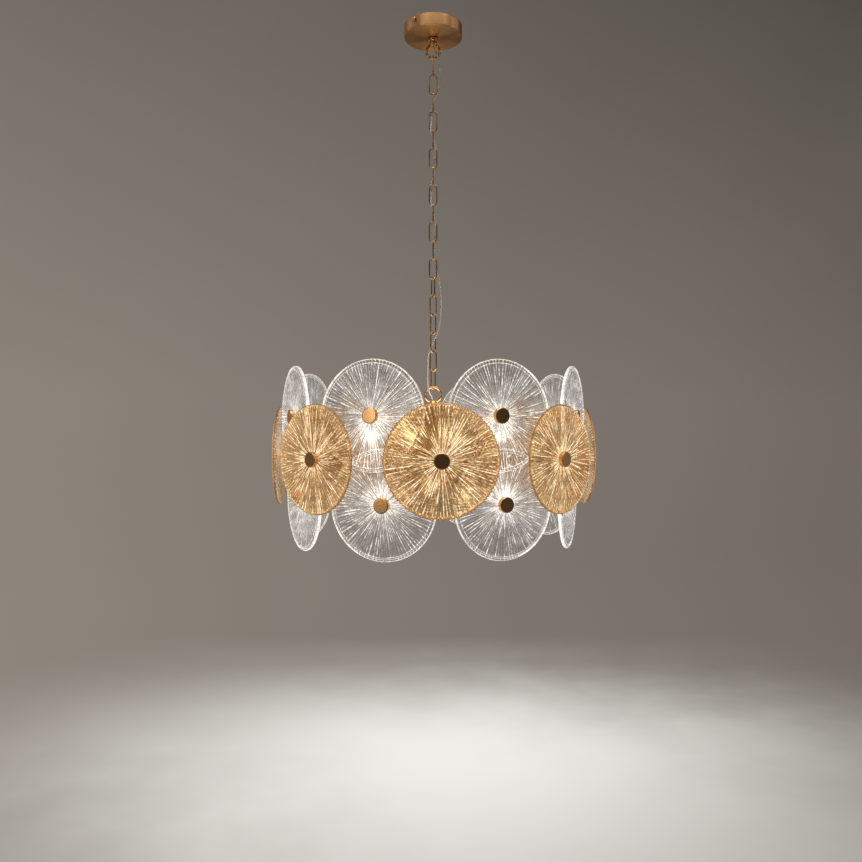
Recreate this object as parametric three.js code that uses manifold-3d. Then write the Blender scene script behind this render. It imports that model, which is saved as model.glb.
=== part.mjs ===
// A drum of pressed glass discs that hangs from the ceiling on a chain.
// Lengths are millimetres and +Z is up. The origin lies on the ceiling, at the middle of the
// mounting plate's flat top. The front faces -Y, and azimuths count from there towards +X.

import * as THREE from 'three';
import { mergeVertices } from 'three/addons/utils/BufferGeometryUtils.js';
import Module from 'manifold-3d';

const wasm = await Module();
wasm.setup();

const DEGREE = Math.PI / 180;
const HALF_TURN = Math.PI;
const FULL_TURN = 2 * Math.PI;
const QUARTER_TURN = HALF_TURN / 2;

// Clearances
const seatGap = 0.3;
const cutOverrun = 1;

// Mounting plate
const plateRadius = 40;
const plateThickness = 2;
const plateAzimuth = -39 * DEGREE;
const ceilingScrewSpacing = 60;
const ceilingScrewHoleRadius = 2.4;
const tabWidth = 14;
const tabThickness = 2;
const tabToWall = 2;
const tabBelowScrew = 4;
const bridgeDrop = 12;
const bridgeThickness = 2;
const bridgeLength = 30;
const bridgeWidth = 16;

// Terminal block
const terminalLength = 22;
const terminalDepth = 14;
const terminalHeight = 6.6;
const terminalWireHoleRadius = 1.7;
const terminalWireHoleDepth = 4;

// Canopy and its side screw
const canopyRadius = 50;
const canopyHeight = 20;
const canopyWall = 1.4;
const canopyEdge = 1.5;
const canopyCeilingGap = 2;
const screwDrop = 8.5;
const screwRadius = 1.7;
const screwLength = 8;
const screwHeadRadius = 3.6;
const screwHeadHeight = 2.2;

// Loop under the canopy, on a hollow threaded shank
const shankRadius = 5;
const wirewayRadius = 2.6;
const collarRadius = 9;
const collarHeight = 6.5;
const collarBevel = 1;
const canopyLoopDiameter = 27.7;
const canopyLoopWire = 4.4;
const canopyLoopNeck = 2.2;
const canopyLoopNeckRadius = 6.5;

// Chain
const linkCount = 18;
const linkPitch = 31.7;
const linkWire = 2.3;
const linkWidth = 15;
const chainTwist = 56 * DEGREE;
const lastStraightLink = 11;

// Loop on top of the drum
const drumLoopWidth = 31.5;
const drumLoopHeight = 29;
const drumLoopWire = 4;
const drumNeckRadius = 8;
const drumNeckLength = 14;
const drumNeckSocketDepth = 11.5;
const drumLoopToMiddle = 90.7;

// Stem through the hub
const stemRadius = 6;
const stemBoreRadius = 3.6;
const stemFootRadius = 13;
const stemFootHeight = 8;
const stemBelowFoot = 6;
const finialRadius = 7;

// Glass discs
const discsPerTier = 8;
const discDiameter = 165;
const discThickness = 5.2;
const discBevel = 3;
const drumAzimuth = 2.6 * DEGREE;
const amberRadius = 261;
const upperInset = 19.5;
const upperRadius = amberRadius - upperInset;
const upperRise = 64.5;
const upperTurn = -1.6 * DEGREE;
const lowerInset = 30;
const lowerRadius = amberRadius - lowerInset;
const lowerDrop = 65.7;
const lowerTurn = 1.6 * DEGREE;

// Frame: hub, arms, uprights, studs and caps
const hubRadius = 22;
const hubAbove = 8;
const hubBelow = 26;
const armRadius = 3;
const clearArmDrop = 14;
const studLength = 53;
const uprightRadius = lowerRadius - studLength;
const capRadius = 11.8;
const capHeight = 7.6;
const capBevel = 0.8;
const seatRadius = 8;
const seatThickness = 2.2;

// Lamps
const lampRadius = 116;
const holderRadius = 11;
const holderHeight = 24;
const holderSocketDepth = 9;
const bulbRadius = 9;
const bulbLength = 40;
const bulbBaseRadius = 7;

// Flex
const flexRadius = 1.3;
const flexSides = 6;
const flexSteps = 78;

// Facets
const discSides = 26;
const canopySides = 36;
const roundSides = 18;
const rodSides = 6;
const capSides = 10;
const seatSides = 6;
const bulbSides = 10;
const linkWireSides = 6;
const linkBowSteps = 6;
const loopWireSides = 6;
const loopSteps = 24;

// Heights that follow from the sizes above, from the ceiling down
const canopyTop = -canopyCeilingGap;
const canopyBottom = canopyTop - canopyHeight;
const collarTop = canopyBottom - seatGap;
const collarBottom = collarTop - collarHeight;
const canopyLoopTop = collarBottom - canopyLoopNeck;
const canopyLoopMiddle = canopyLoopTop - canopyLoopDiameter / 2;
const canopyLoopFloor = canopyLoopTop - canopyLoopDiameter + canopyLoopWire;
const linkLength = linkPitch + 2 * linkWire + seatGap;
const firstLinkTop = canopyLoopFloor + seatGap + linkWire;
const firstLinkMiddle = firstLinkTop - linkLength / 2;
const lastLinkFloor = firstLinkTop - (linkCount - 1) * linkPitch - linkLength + linkWire;
const drumLoopTop = lastLinkFloor + seatGap + drumLoopWire;
const drumLoopMiddle = drumLoopTop - drumLoopHeight / 2;
const drumLoopBottom = drumLoopTop - drumLoopHeight;
const drumMiddle = drumLoopBottom - drumLoopToMiddle;
const clearArmHeight = drumMiddle - clearArmDrop;
const hubBottom = drumMiddle - hubBelow;

const polishedBrass = new THREE.MeshStandardMaterial({
  name: 'polished_brass', color: 0xc9924e, roughness: 0.28, metalness: 1, flatShading: true,
});
const canopyBrass = new THREE.MeshStandardMaterial({
  name: 'canopy_brass', color: 0x9a6b36, roughness: 0.38, metalness: 1, flatShading: true,
});
const plateSteel = new THREE.MeshStandardMaterial({
  name: 'plate_steel', color: 0xb4b6b8, roughness: 0.45, metalness: 1, flatShading: true,
});
const whitePlastic = new THREE.MeshStandardMaterial({
  name: 'white_plastic', color: 0xe6e3dc, roughness: 0.6, metalness: 0, flatShading: true,
});
const flexPlastic = new THREE.MeshStandardMaterial({
  name: 'flex_plastic', color: 0xcfc8bc, roughness: 0.25, metalness: 0, flatShading: true,
});
const amberGlass = new THREE.MeshStandardMaterial({
  name: 'amber_glass', color: 0xd7a35a, roughness: 0.12, metalness: 0, flatShading: true,
  transparent: true, opacity: 0.55,
});
const clearGlass = new THREE.MeshStandardMaterial({
  name: 'clear_glass', color: 0xe9ebea, roughness: 0.1, metalness: 0, flatShading: true,
  transparent: true, opacity: 0.35,
});
const bulbGlass = new THREE.MeshStandardMaterial({
  name: 'bulb_glass', color: 0xfff1d6, roughness: 0.4, metalness: 0, flatShading: true,
});

const light = new THREE.Group();

/** Adds a piece to its parent as a named mesh, and returns the mesh. */
function addPiece(parent, name, geometry, material) {
  const mesh = new THREE.Mesh(geometry, material);
  mesh.name = name;
  parent.add(mesh);
  return mesh;
}

/** Six times the signed volume inside a geometry's indexed triangles. */
function signedVolume(positions, triangles) {
  const a = new THREE.Vector3();
  const b = new THREE.Vector3();
  const c = new THREE.Vector3();
  let volume = 0;
  for (let i = 0; i < triangles.length; i += 3) {
    a.fromBufferAttribute(positions, triangles[i]);
    b.fromBufferAttribute(positions, triangles[i + 1]);
    c.fromBufferAttribute(positions, triangles[i + 2]);
    volume += a.dot(b.cross(c));
  }
  return volume;
}

/** One closed skin: corners merged, slivers without area dropped, faces pointing out. */
function closedSkin(source) {
  const bare = source.clone();
  bare.deleteAttribute('normal');
  bare.deleteAttribute('uv');
  const merged = mergeVertices(bare);
  const triangles = [];
  for (let i = 0; i < merged.index.count; i += 3) {
    const [a, b, c] = [0, 1, 2].map((corner) => merged.index.getX(i + corner));
    if (a !== b && b !== c && c !== a) {
      triangles.push(a, b, c);
    }
  }
  if (signedVolume(merged.attributes.position, triangles) < 0) {
    triangles.reverse();
  }
  merged.setIndex(triangles);
  return merged;
}

/** The solid inside a closed geometry, ready to join or cut. */
function toSolid(geometry) {
  const skin = closedSkin(geometry);
  const mesh = new wasm.Mesh({
    numProp: 3,
    vertProperties: new Float32Array(skin.attributes.position.array),
    triVerts: new Uint32Array(skin.index.array),
  });
  return new wasm.Manifold(mesh);
}

/** The geometry of a joined or cut solid. */
function toGeometry(solid) {
  const mesh = solid.getMesh();
  const geometry = new THREE.BufferGeometry();
  geometry.setAttribute('position', new THREE.BufferAttribute(mesh.vertProperties, 3));
  geometry.setIndex(new THREE.BufferAttribute(mesh.triVerts, 1));
  return geometry;
}

/** Joins a list of solids into one. */
function joined(solids) {
  return solids.reduce((whole, solid) => whole.add(solid));
}

/** Turns a profile of [radius, height] points about the Z axis. */
function turnedUpright(profile, sides) {
  const points = profile.map(([radius, height]) => new THREE.Vector2(radius, height));
  return new THREE.LatheGeometry(points, sides).rotateX(QUARTER_TURN);
}

/** Turns a profile of [radius, distance] points about the Y axis, with distance towards -Y. */
function turnedForward(profile, sides) {
  const points = profile.map(([radius, distance]) => new THREE.Vector2(radius, -distance));
  return new THREE.LatheGeometry(points, sides);
}

/** A straight round bar between two points. */
function bar(from, to, radius, sides = rodSides) {
  const along = new THREE.Vector3().subVectors(to, from);
  const geometry = new THREE.CylinderGeometry(radius, radius, along.length(), sides);
  const turn = new THREE.Quaternion().setFromUnitVectors(
    new THREE.Vector3(0, 1, 0),
    along.clone().normalize(),
  );
  geometry.applyQuaternion(turn);
  geometry.translate(...new THREE.Vector3().addVectors(from, to).multiplyScalar(0.5));
  return geometry;
}

/** A box between two corners. */
function block(low, high) {
  const size = new THREE.Vector3().subVectors(high, low);
  const middle = new THREE.Vector3().addVectors(high, low).multiplyScalar(0.5);
  return new THREE.BoxGeometry(...size).translate(...middle);
}

/** A point at a distance from the axis, at an azimuth and a height. */
function around(radius, azimuth, height) {
  return new THREE.Vector3(radius * Math.sin(azimuth), -radius * Math.cos(azimuth), height);
}

/** Round wire bent along a closed line in the XZ plane, which lists [x, z] points. */
function closedWire(line, wireRadius, sides) {
  const across = new THREE.Vector3(0, 1, 0);
  const corners = line.map(([x, z]) => new THREE.Vector3(x, 0, z));
  const positions = [];
  const triangles = [];
  const count = corners.length;
  corners.forEach((corner, step) => {
    const before = corner.clone().sub(corners[(step + count - 1) % count]).normalize();
    const after = corners[(step + 1) % count].clone().sub(corner).normalize();
    const outward = before.add(after).normalize().cross(across);
    for (let side = 0; side < sides; side += 1) {
      const angle = (FULL_TURN * side) / sides;
      const point = corner.clone();
      point.addScaledVector(outward, wireRadius * Math.cos(angle));
      point.addScaledVector(across, wireRadius * Math.sin(angle));
      positions.push(...point);
      const here = step * sides + side;
      const beside = step * sides + ((side + 1) % sides);
      const ahead = ((step + 1) % count) * sides + side;
      const aheadBeside = ((step + 1) % count) * sides + ((side + 1) % sides);
      triangles.push(here, beside, ahead, beside, aheadBeside, ahead);
    }
  });
  const geometry = new THREE.BufferGeometry();
  geometry.setAttribute('position', new THREE.Float32BufferAttribute(positions, 3));
  geometry.setIndex(triangles);
  return closedSkin(geometry);
}

/** The centre line of an oval ring of wire, as [x, z] points. */
function ovalLine(width, height, steps) {
  return Array.from({ length: steps }, (_, step) => {
    const angle = (FULL_TURN * step) / steps;
    return [(width / 2) * Math.cos(angle), (height / 2) * Math.sin(angle)];
  });
}

/** The centre line of a link: two round bows and two straight legs. */
function linkLine() {
  const bowRadius = (linkWidth - linkWire) / 2;
  const bowHeight = (linkLength - linkWidth) / 2;
  const bow = Array.from({ length: linkBowSteps + 1 }, (_, step) => {
    const angle = (HALF_TURN * step) / linkBowSteps;
    return [bowRadius * Math.cos(angle), bowHeight + bowRadius * Math.sin(angle)];
  });
  return [...bow, ...bow.map(([x, z]) => [-x, -z])];
}

/** The plate screwed to the ceiling, with a bridge for the shank and a tab for each canopy screw. */
function mountingPlate() {
  const tabOuter = canopyRadius - canopyWall - tabToWall;
  const tabBottom = -screwDrop - tabBelowScrew;
  const bridgeEnd = bridgeLength / 2;
  const bridgeBottom = -bridgeDrop - bridgeThickness;
  const disc = bar(around(0, 0, -plateThickness), around(0, 0, 0), plateRadius, canopySides);
  let plate = toSolid(disc);
  plate = plate.add(toSolid(block(
    new THREE.Vector3(-tabOuter, -tabWidth / 2, -plateThickness),
    new THREE.Vector3(tabOuter, tabWidth / 2, 0),
  )));
  plate = plate.add(toSolid(block(
    new THREE.Vector3(-bridgeEnd, -bridgeWidth / 2, bridgeBottom),
    new THREE.Vector3(bridgeEnd, bridgeWidth / 2, -plateThickness / 2),
  )));
  plate = plate.subtract(toSolid(block(
    new THREE.Vector3(bridgeThickness - bridgeEnd, -bridgeWidth / 2 - cutOverrun, -bridgeDrop),
    new THREE.Vector3(bridgeEnd - bridgeThickness, bridgeWidth / 2 + cutOverrun, -plateThickness),
  )));
  plate = plate.subtract(toSolid(bar(
    around(0, 0, bridgeBottom - cutOverrun),
    around(0, 0, -bridgeDrop + cutOverrun),
    shankRadius + seatGap,
    roundSides,
  )));
  for (const side of [-1, 1]) {
    const tab = block(
      new THREE.Vector3(tabOuter - tabThickness, -tabWidth / 2, tabBottom),
      new THREE.Vector3(tabOuter, tabWidth / 2, -plateThickness / 2),
    );
    plate = plate.add(toSolid(tab.rotateZ(side > 0 ? 0 : HALF_TURN)));
    plate = plate.subtract(toSolid(bar(
      new THREE.Vector3(side * (tabOuter - tabThickness - cutOverrun), 0, -screwDrop),
      new THREE.Vector3(side * (tabOuter + cutOverrun), 0, -screwDrop),
      screwRadius + seatGap,
      capSides,
    )));
    plate = plate.subtract(toSolid(bar(
      new THREE.Vector3((side * ceilingScrewSpacing) / 2, 0, -plateThickness - cutOverrun),
      new THREE.Vector3((side * ceilingScrewSpacing) / 2, 0, cutOverrun),
      ceilingScrewHoleRadius,
      capSides,
    )));
  }
  return toGeometry(plate);
}

/** The block in the plate's bridge where the flex meets the house wiring. */
function terminalBlock() {
  const top = -plateThickness - seatGap;
  const bottom = top - terminalHeight;
  const body = toSolid(block(
    new THREE.Vector3(-terminalLength / 2, -terminalDepth / 2, bottom),
    new THREE.Vector3(terminalLength / 2, terminalDepth / 2, top),
  ));
  const wireHole = bar(
    around(0, 0, bottom - cutOverrun),
    around(0, 0, bottom + terminalWireHoleDepth),
    terminalWireHoleRadius,
    flexSides,
  );
  return toGeometry(body.subtract(toSolid(wireHole)));
}

/** The shallow cup that covers the plate, open at the top. */
function canopyCup() {
  const inner = canopyRadius - canopyWall;
  const floor = canopyBottom + canopyWall;
  const hole = shankRadius + seatGap;
  const profile = [
    [hole, canopyBottom],
    [canopyRadius - canopyEdge, canopyBottom],
    [canopyRadius, canopyBottom + canopyEdge],
    [canopyRadius, canopyTop],
    [inner, canopyTop],
    [inner, floor],
    [hole, floor],
    [hole, canopyBottom],
  ];
  let cup = toSolid(turnedUpright(profile, canopySides));
  for (const side of [-1, 1]) {
    const reach = canopyRadius + cutOverrun;
    cup = cup.subtract(toSolid(bar(
      around(side * (inner - cutOverrun), plateAzimuth, -screwDrop),
      around(side * reach, plateAzimuth, -screwDrop),
      screwRadius + seatGap,
      capSides,
    )));
  }
  return toGeometry(cup);
}

/** The screw through the canopy's wall into the plate's tab, head outwards. */
function canopyScrew() {
  const head = canopyRadius + seatGap;
  const tip = head - screwLength;
  const profile = [
    [0, tip],
    [screwRadius, tip],
    [screwRadius, head],
    [screwHeadRadius, head],
    [screwHeadRadius, head + screwHeadHeight / 2],
    [screwHeadRadius / 2, head + screwHeadHeight],
    [0, head + screwHeadHeight],
  ];
  return turnedForward(profile, capSides);
}

/** The round nut that holds the canopy up on the shank. */
function loopCollar() {
  const hole = shankRadius + seatGap;
  return turnedUpright([
    [hole, collarBottom],
    [collarRadius - collarBevel, collarBottom],
    [collarRadius, collarBottom + collarBevel],
    [collarRadius, collarTop - collarBevel],
    [collarRadius - collarBevel, collarTop],
    [hole, collarTop],
    [hole, collarBottom],
  ], roundSides);
}

/** The ring under the canopy with its neck and hollow shank. */
function canopyLoop() {
  const middle = canopyLoopDiameter - canopyLoopWire;
  const ring = closedWire(ovalLine(middle, middle, loopSteps), canopyLoopWire / 2, loopWireSides);
  const neckBottom = canopyLoopTop - canopyLoopWire;
  const shankTop = -bridgeDrop + seatGap;
  const neck = turnedUpright([
    [0, neckBottom],
    [canopyLoopNeckRadius, neckBottom],
    [canopyLoopNeckRadius, collarBottom - seatGap],
    [shankRadius, collarBottom - seatGap],
    [shankRadius, shankTop],
    [0, shankTop],
  ], roundSides);
  const wireway = bar(
    around(0, 0, neckBottom - cutOverrun),
    around(0, 0, shankTop + cutOverrun),
    wirewayRadius,
    capSides,
  );
  const solid = toSolid(ring.translate(0, 0, canopyLoopMiddle)).add(toSolid(neck));
  return toGeometry(solid.subtract(toSolid(wireway)));
}

/** The azimuth of a link's plane, counted from the plane that faces the front. */
function linkTurn(link) {
  const past = Math.max(0, link - lastStraightLink) / (linkCount - lastStraightLink);
  return link * QUARTER_TURN + chainTwist * Math.sin(past * QUARTER_TURN);
}

/** The ring on top of the drum, with the neck that the stem screws into. */
function drumLoop() {
  const ring = closedWire(
    ovalLine(drumLoopWidth - drumLoopWire, drumLoopHeight - drumLoopWire, loopSteps),
    drumLoopWire / 2,
    loopWireSides,
  );
  const neckTop = drumLoopBottom + drumLoopWire;
  const neckBottom = drumLoopBottom - drumNeckLength;
  const socket = stemRadius + seatGap;
  const neck = bar(
    around(0, 0, neckBottom),
    around(0, 0, neckTop),
    drumNeckRadius,
    roundSides,
  );
  const bore = turnedUpright([
    [0, neckBottom - cutOverrun],
    [socket, neckBottom - cutOverrun],
    [socket, neckBottom + drumNeckSocketDepth],
    [wirewayRadius, neckBottom + drumNeckSocketDepth],
    [wirewayRadius, neckTop + cutOverrun],
    [0, neckTop + cutOverrun],
  ], roundSides);
  const solid = toSolid(ring.translate(0, 0, drumLoopMiddle)).add(toSolid(neck));
  return toGeometry(solid.subtract(toSolid(bore)));
}

/** The tube from the loop down through the hub, with the foot that carries the hub. */
function drumStem() {
  const top = drumLoopBottom - drumNeckLength + drumNeckSocketDepth - seatGap;
  const footTop = hubBottom - seatGap;
  const footBottom = footTop - stemFootHeight;
  const boreBottom = footTop;
  const finialMiddle = footBottom - stemBelowFoot;
  return turnedUpright([
    [0, finialMiddle - finialRadius],
    [finialRadius * Math.cos(QUARTER_TURN / 2), finialMiddle - finialRadius / 2],
    [finialRadius, finialMiddle],
    [stemRadius, finialMiddle + finialRadius / 2],
    [stemRadius, footBottom],
    [stemFootRadius, footBottom],
    [stemFootRadius, footTop],
    [stemRadius, footTop],
    [stemRadius, top],
    [stemBoreRadius, top],
    [stemBoreRadius, boreBottom],
    [0, boreBottom],
  ], roundSides);
}

/** A pressed glass disc that faces -Y, with a hole for its stud and a thinner rim. */
function glassDisc() {
  const hole = armRadius + seatGap;
  const half = discThickness / 2;
  const rim = discDiameter / 2;
  return closedSkin(turnedForward([
    [hole, -half],
    [hole, half],
    [rim - discBevel, half],
    [rim, 0],
    [rim - discBevel, -half],
    [hole, -half],
  ], discSides));
}

/** The end of an arm that holds a disc: the seat behind it, the stud through it and the cap. */
function discFixing(radius, azimuth, height, studFrom) {
  const half = discThickness / 2;
  const seatFront = -half - seatGap;
  const capBack = half + seatGap;
  const stud = bar(
    around(studFrom, azimuth, height),
    around(radius + capBack + capBevel, azimuth, height),
    armRadius,
  );
  const seat = turnedForward([
    [0, seatFront - seatThickness],
    [seatRadius, seatFront - seatThickness],
    [seatRadius, seatFront],
    [0, seatFront],
  ], seatSides);
  const cap = turnedForward([
    [0, capBack],
    [capRadius, capBack],
    [capRadius, capBack + capHeight - capBevel],
    [capRadius - capBevel, capBack + capHeight],
    [0, capBack + capHeight],
  ], capSides);
  const place = around(radius, azimuth, height);
  const fitted = [seat, cap].map((piece) => piece.rotateZ(azimuth).translate(...place));
  return joined([stud, ...fitted].map(toSolid));
}

/** Whether the lamp on a clear arm points up; every second one points down. */
function lampPointsUp(arm) {
  return arm % 2 === 1;
}

/** The azimuth of an arm: amber arms stand on whole steps, clear arms halfway between. */
function armAzimuth(arm, halfway) {
  return drumAzimuth + ((arm + (halfway ? 0.5 : 0)) * FULL_TURN) / discsPerTier;
}

/** The lamp holder's sleeve with the socket for its bulb, on a clear arm. */
function lampHolder(arm) {
  const sleeve = turnedUpright([
    [0, 0],
    [holderRadius, 0],
    [holderRadius, holderHeight],
    [bulbBaseRadius + seatGap, holderHeight],
    [bulbBaseRadius + seatGap, holderHeight - holderSocketDepth],
    [0, holderHeight - holderSocketDepth],
  ], bulbSides);
  const place = around(lampRadius, armAzimuth(arm, true), clearArmHeight);
  return toSolid(sleeve.rotateX(lampPointsUp(arm) ? 0 : HALF_TURN).translate(...place));
}

/** One clear arm with its lamp holder, its upright and the fixings of its two clear discs. */
function clearArm(arm) {
  const azimuth = armAzimuth(arm, true);
  const upperAzimuth = azimuth + upperTurn;
  const lowerAzimuth = azimuth + lowerTurn;
  const upperHeight = drumMiddle + upperRise;
  const lowerHeight = drumMiddle - lowerDrop;
  const root = (hubRadius + stemRadius) / 2;
  return joined([
    toSolid(bar(
      around(root, azimuth, clearArmHeight),
      around(uprightRadius, azimuth, clearArmHeight),
      armRadius,
    )),
    toSolid(bar(
      around(uprightRadius, lowerAzimuth, lowerHeight - armRadius),
      around(uprightRadius, upperAzimuth, upperHeight + armRadius),
      armRadius,
    )),
    lampHolder(arm),
    discFixing(upperRadius, upperAzimuth, upperHeight, uprightRadius),
    discFixing(lowerRadius, lowerAzimuth, lowerHeight, uprightRadius),
  ]);
}

/** The brass frame: hub, amber arms and clear arms, with a hole for the stem. */
function drumFrame() {
  const hub = bar(
    around(0, 0, hubBottom),
    around(0, 0, drumMiddle + hubAbove),
    hubRadius,
    roundSides,
  );
  const stemHole = bar(
    around(0, 0, hubBottom - cutOverrun),
    around(0, 0, drumMiddle + hubAbove + cutOverrun),
    stemRadius + seatGap,
    roundSides,
  );
  let frame = toSolid(hub);
  for (let arm = 0; arm < discsPerTier; arm += 1) {
    frame = frame.add(discFixing(amberRadius, armAzimuth(arm, false), drumMiddle, hubRadius / 2));
    frame = frame.add(clearArm(arm));
  }
  return toGeometry(frame.subtract(toSolid(stemHole)));
}

/** A capsule bulb that stands up from its holder's foot at the origin. */
function capsuleBulb() {
  const baseBottom = holderHeight - holderSocketDepth + seatGap;
  const shoulder = holderHeight + seatGap;
  const crown = shoulder + bulbLength - bulbRadius;
  const slope = QUARTER_TURN / 2;
  return closedSkin(turnedUpright([
    [0, baseBottom],
    [bulbBaseRadius, baseBottom],
    [bulbBaseRadius, shoulder],
    [bulbRadius, shoulder],
    [bulbRadius, crown],
    [bulbRadius * Math.cos(slope), crown + bulbRadius * Math.sin(slope)],
    [0, crown + bulbRadius],
  ], bulbSides));
}

// The flex's way from the terminal block, down the shank, beside and through the links, into
// the stem. The points are [x, y, height], chosen one by one. Above the chain the height is from
// the ceiling, along it in link pitches down from the first link's middle, and below it from
// the bottom of the lower loop.
const flexAboveChain = [[0, 0, -6.5], [0, 0, -33], [2.4, -2.8, -42], [6.4, -5.8, -53]];
const flexAlongChain = [
  [9.6, -5.6, -0.1262], [11.4, -3.4, 0.4416], [10.6, 0.6, 0.9779], [6.8, 3.8, 1.4511],
  [0.2, 2.6, 1.9874], [-3.7, 3.6, 2.4921], [-3, 0, 2.9968], [-3.7, -3.6, 3.5016],
  [0, -3, 4.0063], [3.7, -3.6, 4.4953], [3, 0, 5], [3.7, 3.6, 5.5047], [0, 3, 5.9937],
  [-3.7, 3.6, 6.4984], [-3, 0, 7.0032], [-3.7, -3.6, 7.5079], [0, -3, 7.9968],
  [3.7, -3.6, 8.5016], [3, 0, 8.9905], [3.9, 3.9, 9.4953], [4.2, 4.8, 10.4732],
  [6.2, 5.6, 11.041], [10, 3.6, 11.6088], [13, 0.4, 12.3028], [13.8, -1.4, 13.0599],
  [12.6, -2.4, 13.7539], [9, -2.6, 14.3218], [4.6, -1.6, 14.7003], [0, 0, 15.0158],
  [-4.6, -0.6, 15.3312], [-7.8, -1.4, 15.7098], [-8.8, -1.8, 16.3407], [-9, -3, 16.9085],
];
const flexBelowChain = [
  [-8.2, -4.6, 26.6], [-5.6, -3.6, 16.6], [-1.6, -1, 8.6], [0, 0, 1.6], [0, 0, -40.4],
  [0, 0, -85.4],
];

/** The points that the flex runs through, from the ceiling down. */
function flexRoute() {
  const placed = (points, height) => (
    points.map(([x, y, along]) => new THREE.Vector3(x, y, height(along)))
  );
  return [
    ...placed(flexAboveChain, (fromCeiling) => fromCeiling),
    ...placed(flexAlongChain, (pitches) => firstLinkMiddle - pitches * linkPitch),
    ...placed(flexBelowChain, (fromLoop) => drumLoopBottom + fromLoop),
  ];
}

/** The flex along its whole route. */
function flexTube() {
  const section = new THREE.Shape(Array.from({ length: flexSides }, (_, side) => {
    const angle = (FULL_TURN * side) / flexSides;
    return new THREE.Vector2(flexRadius * Math.cos(angle), flexRadius * Math.sin(angle));
  }));
  const line = new THREE.CatmullRomCurve3(flexRoute());
  return new THREE.ExtrudeGeometry(section, { steps: flexSteps, extrudePath: line });
}

/** A two-digit number for the name of a repeated piece. */
function numbered(name, index) {
  return `${name}_${String(index + 1).padStart(2, '0')}`;
}

/** Adds one tier of discs, each turned to face away from the axis. */
function addTier(name, material, radius, height, halfway, turn) {
  const disc = glassDisc();
  for (let index = 0; index < discsPerTier; index += 1) {
    const spoke = new THREE.Group();
    spoke.rotation.z = armAzimuth(index, halfway) + turn;
    light.add(spoke);
    const mesh = addPiece(spoke, numbered(name, index), disc, material);
    mesh.position.set(0, -radius, height);
  }
}

// Ceiling fittings
const plateGroup = new THREE.Group();
plateGroup.rotation.z = plateAzimuth - QUARTER_TURN;
light.add(plateGroup);
addPiece(plateGroup, 'mounting_plate', mountingPlate(), plateSteel);
addPiece(plateGroup, 'terminal_block', terminalBlock(), whitePlastic);
addPiece(light, 'canopy_cup', canopyCup(), canopyBrass);
const screwMesh = addPiece(light, 'canopy_screw', closedSkin(canopyScrew()), polishedBrass);
screwMesh.rotation.z = plateAzimuth;
screwMesh.position.z = -screwDrop;
addPiece(light, 'loop_collar', closedSkin(loopCollar()), polishedBrass);
addPiece(light, 'canopy_loop', canopyLoop(), polishedBrass);

// Chain
const link = closedWire(linkLine(), linkWire / 2, linkWireSides);
for (let index = 0; index < linkCount; index += 1) {
  const mesh = addPiece(light, numbered('chain_link', index), link, polishedBrass);
  mesh.position.z = firstLinkMiddle - index * linkPitch;
  mesh.rotation.z = linkTurn(index + 1);
}

// Drum
addPiece(light, 'drum_loop', drumLoop(), polishedBrass);
addPiece(light, 'drum_stem', closedSkin(drumStem()), polishedBrass);
addPiece(light, 'drum_frame', drumFrame(), polishedBrass);
addTier('amber_disc', amberGlass, amberRadius, drumMiddle, false, 0);
addTier('upper_disc', clearGlass, upperRadius, drumMiddle + upperRise, true, upperTurn);
addTier('lower_disc', clearGlass, lowerRadius, drumMiddle - lowerDrop, true, lowerTurn);

// Lamps
const bulb = capsuleBulb();
for (let arm = 0; arm < discsPerTier; arm += 1) {
  const mesh = addPiece(light, numbered('bulb', arm), bulb, bulbGlass);
  mesh.position.copy(around(lampRadius, armAzimuth(arm, true), clearArmHeight));
  mesh.rotation.x = lampPointsUp(arm) ? 0 : HALF_TURN;
}

addPiece(light, 'flex', closedSkin(flexTube()), flexPlastic);

export default light;
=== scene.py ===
"""A drum of pressed glass discs on a chain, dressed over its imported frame.

Sizes are millimetres in the classes and metres in Blender. +Z is up, the front faces -Y, and
azimuths count from the front towards +X. The origin lies on the ceiling, over the stem.
"""

from __future__ import annotations

import logging
import math
import random
from dataclasses import dataclass, field
from enum import Enum
from typing import Any, Callable, ClassVar, Iterable, Sequence, Union

import bmesh
import bpy
from mathutils import Matrix, Vector


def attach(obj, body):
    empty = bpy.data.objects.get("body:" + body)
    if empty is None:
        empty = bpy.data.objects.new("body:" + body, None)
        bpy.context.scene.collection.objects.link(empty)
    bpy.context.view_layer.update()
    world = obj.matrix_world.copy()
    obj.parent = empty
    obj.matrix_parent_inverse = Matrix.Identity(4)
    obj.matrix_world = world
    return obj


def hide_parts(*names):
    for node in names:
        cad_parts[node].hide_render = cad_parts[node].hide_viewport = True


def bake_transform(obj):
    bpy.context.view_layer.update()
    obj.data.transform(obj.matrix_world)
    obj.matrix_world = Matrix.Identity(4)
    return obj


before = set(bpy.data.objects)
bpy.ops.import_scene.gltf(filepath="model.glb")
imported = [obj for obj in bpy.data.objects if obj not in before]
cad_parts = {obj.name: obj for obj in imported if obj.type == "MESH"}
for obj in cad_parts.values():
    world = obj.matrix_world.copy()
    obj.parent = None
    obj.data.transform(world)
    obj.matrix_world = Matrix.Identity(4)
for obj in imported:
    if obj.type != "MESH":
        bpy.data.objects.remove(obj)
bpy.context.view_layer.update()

log = logging.getLogger("pendant")

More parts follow.
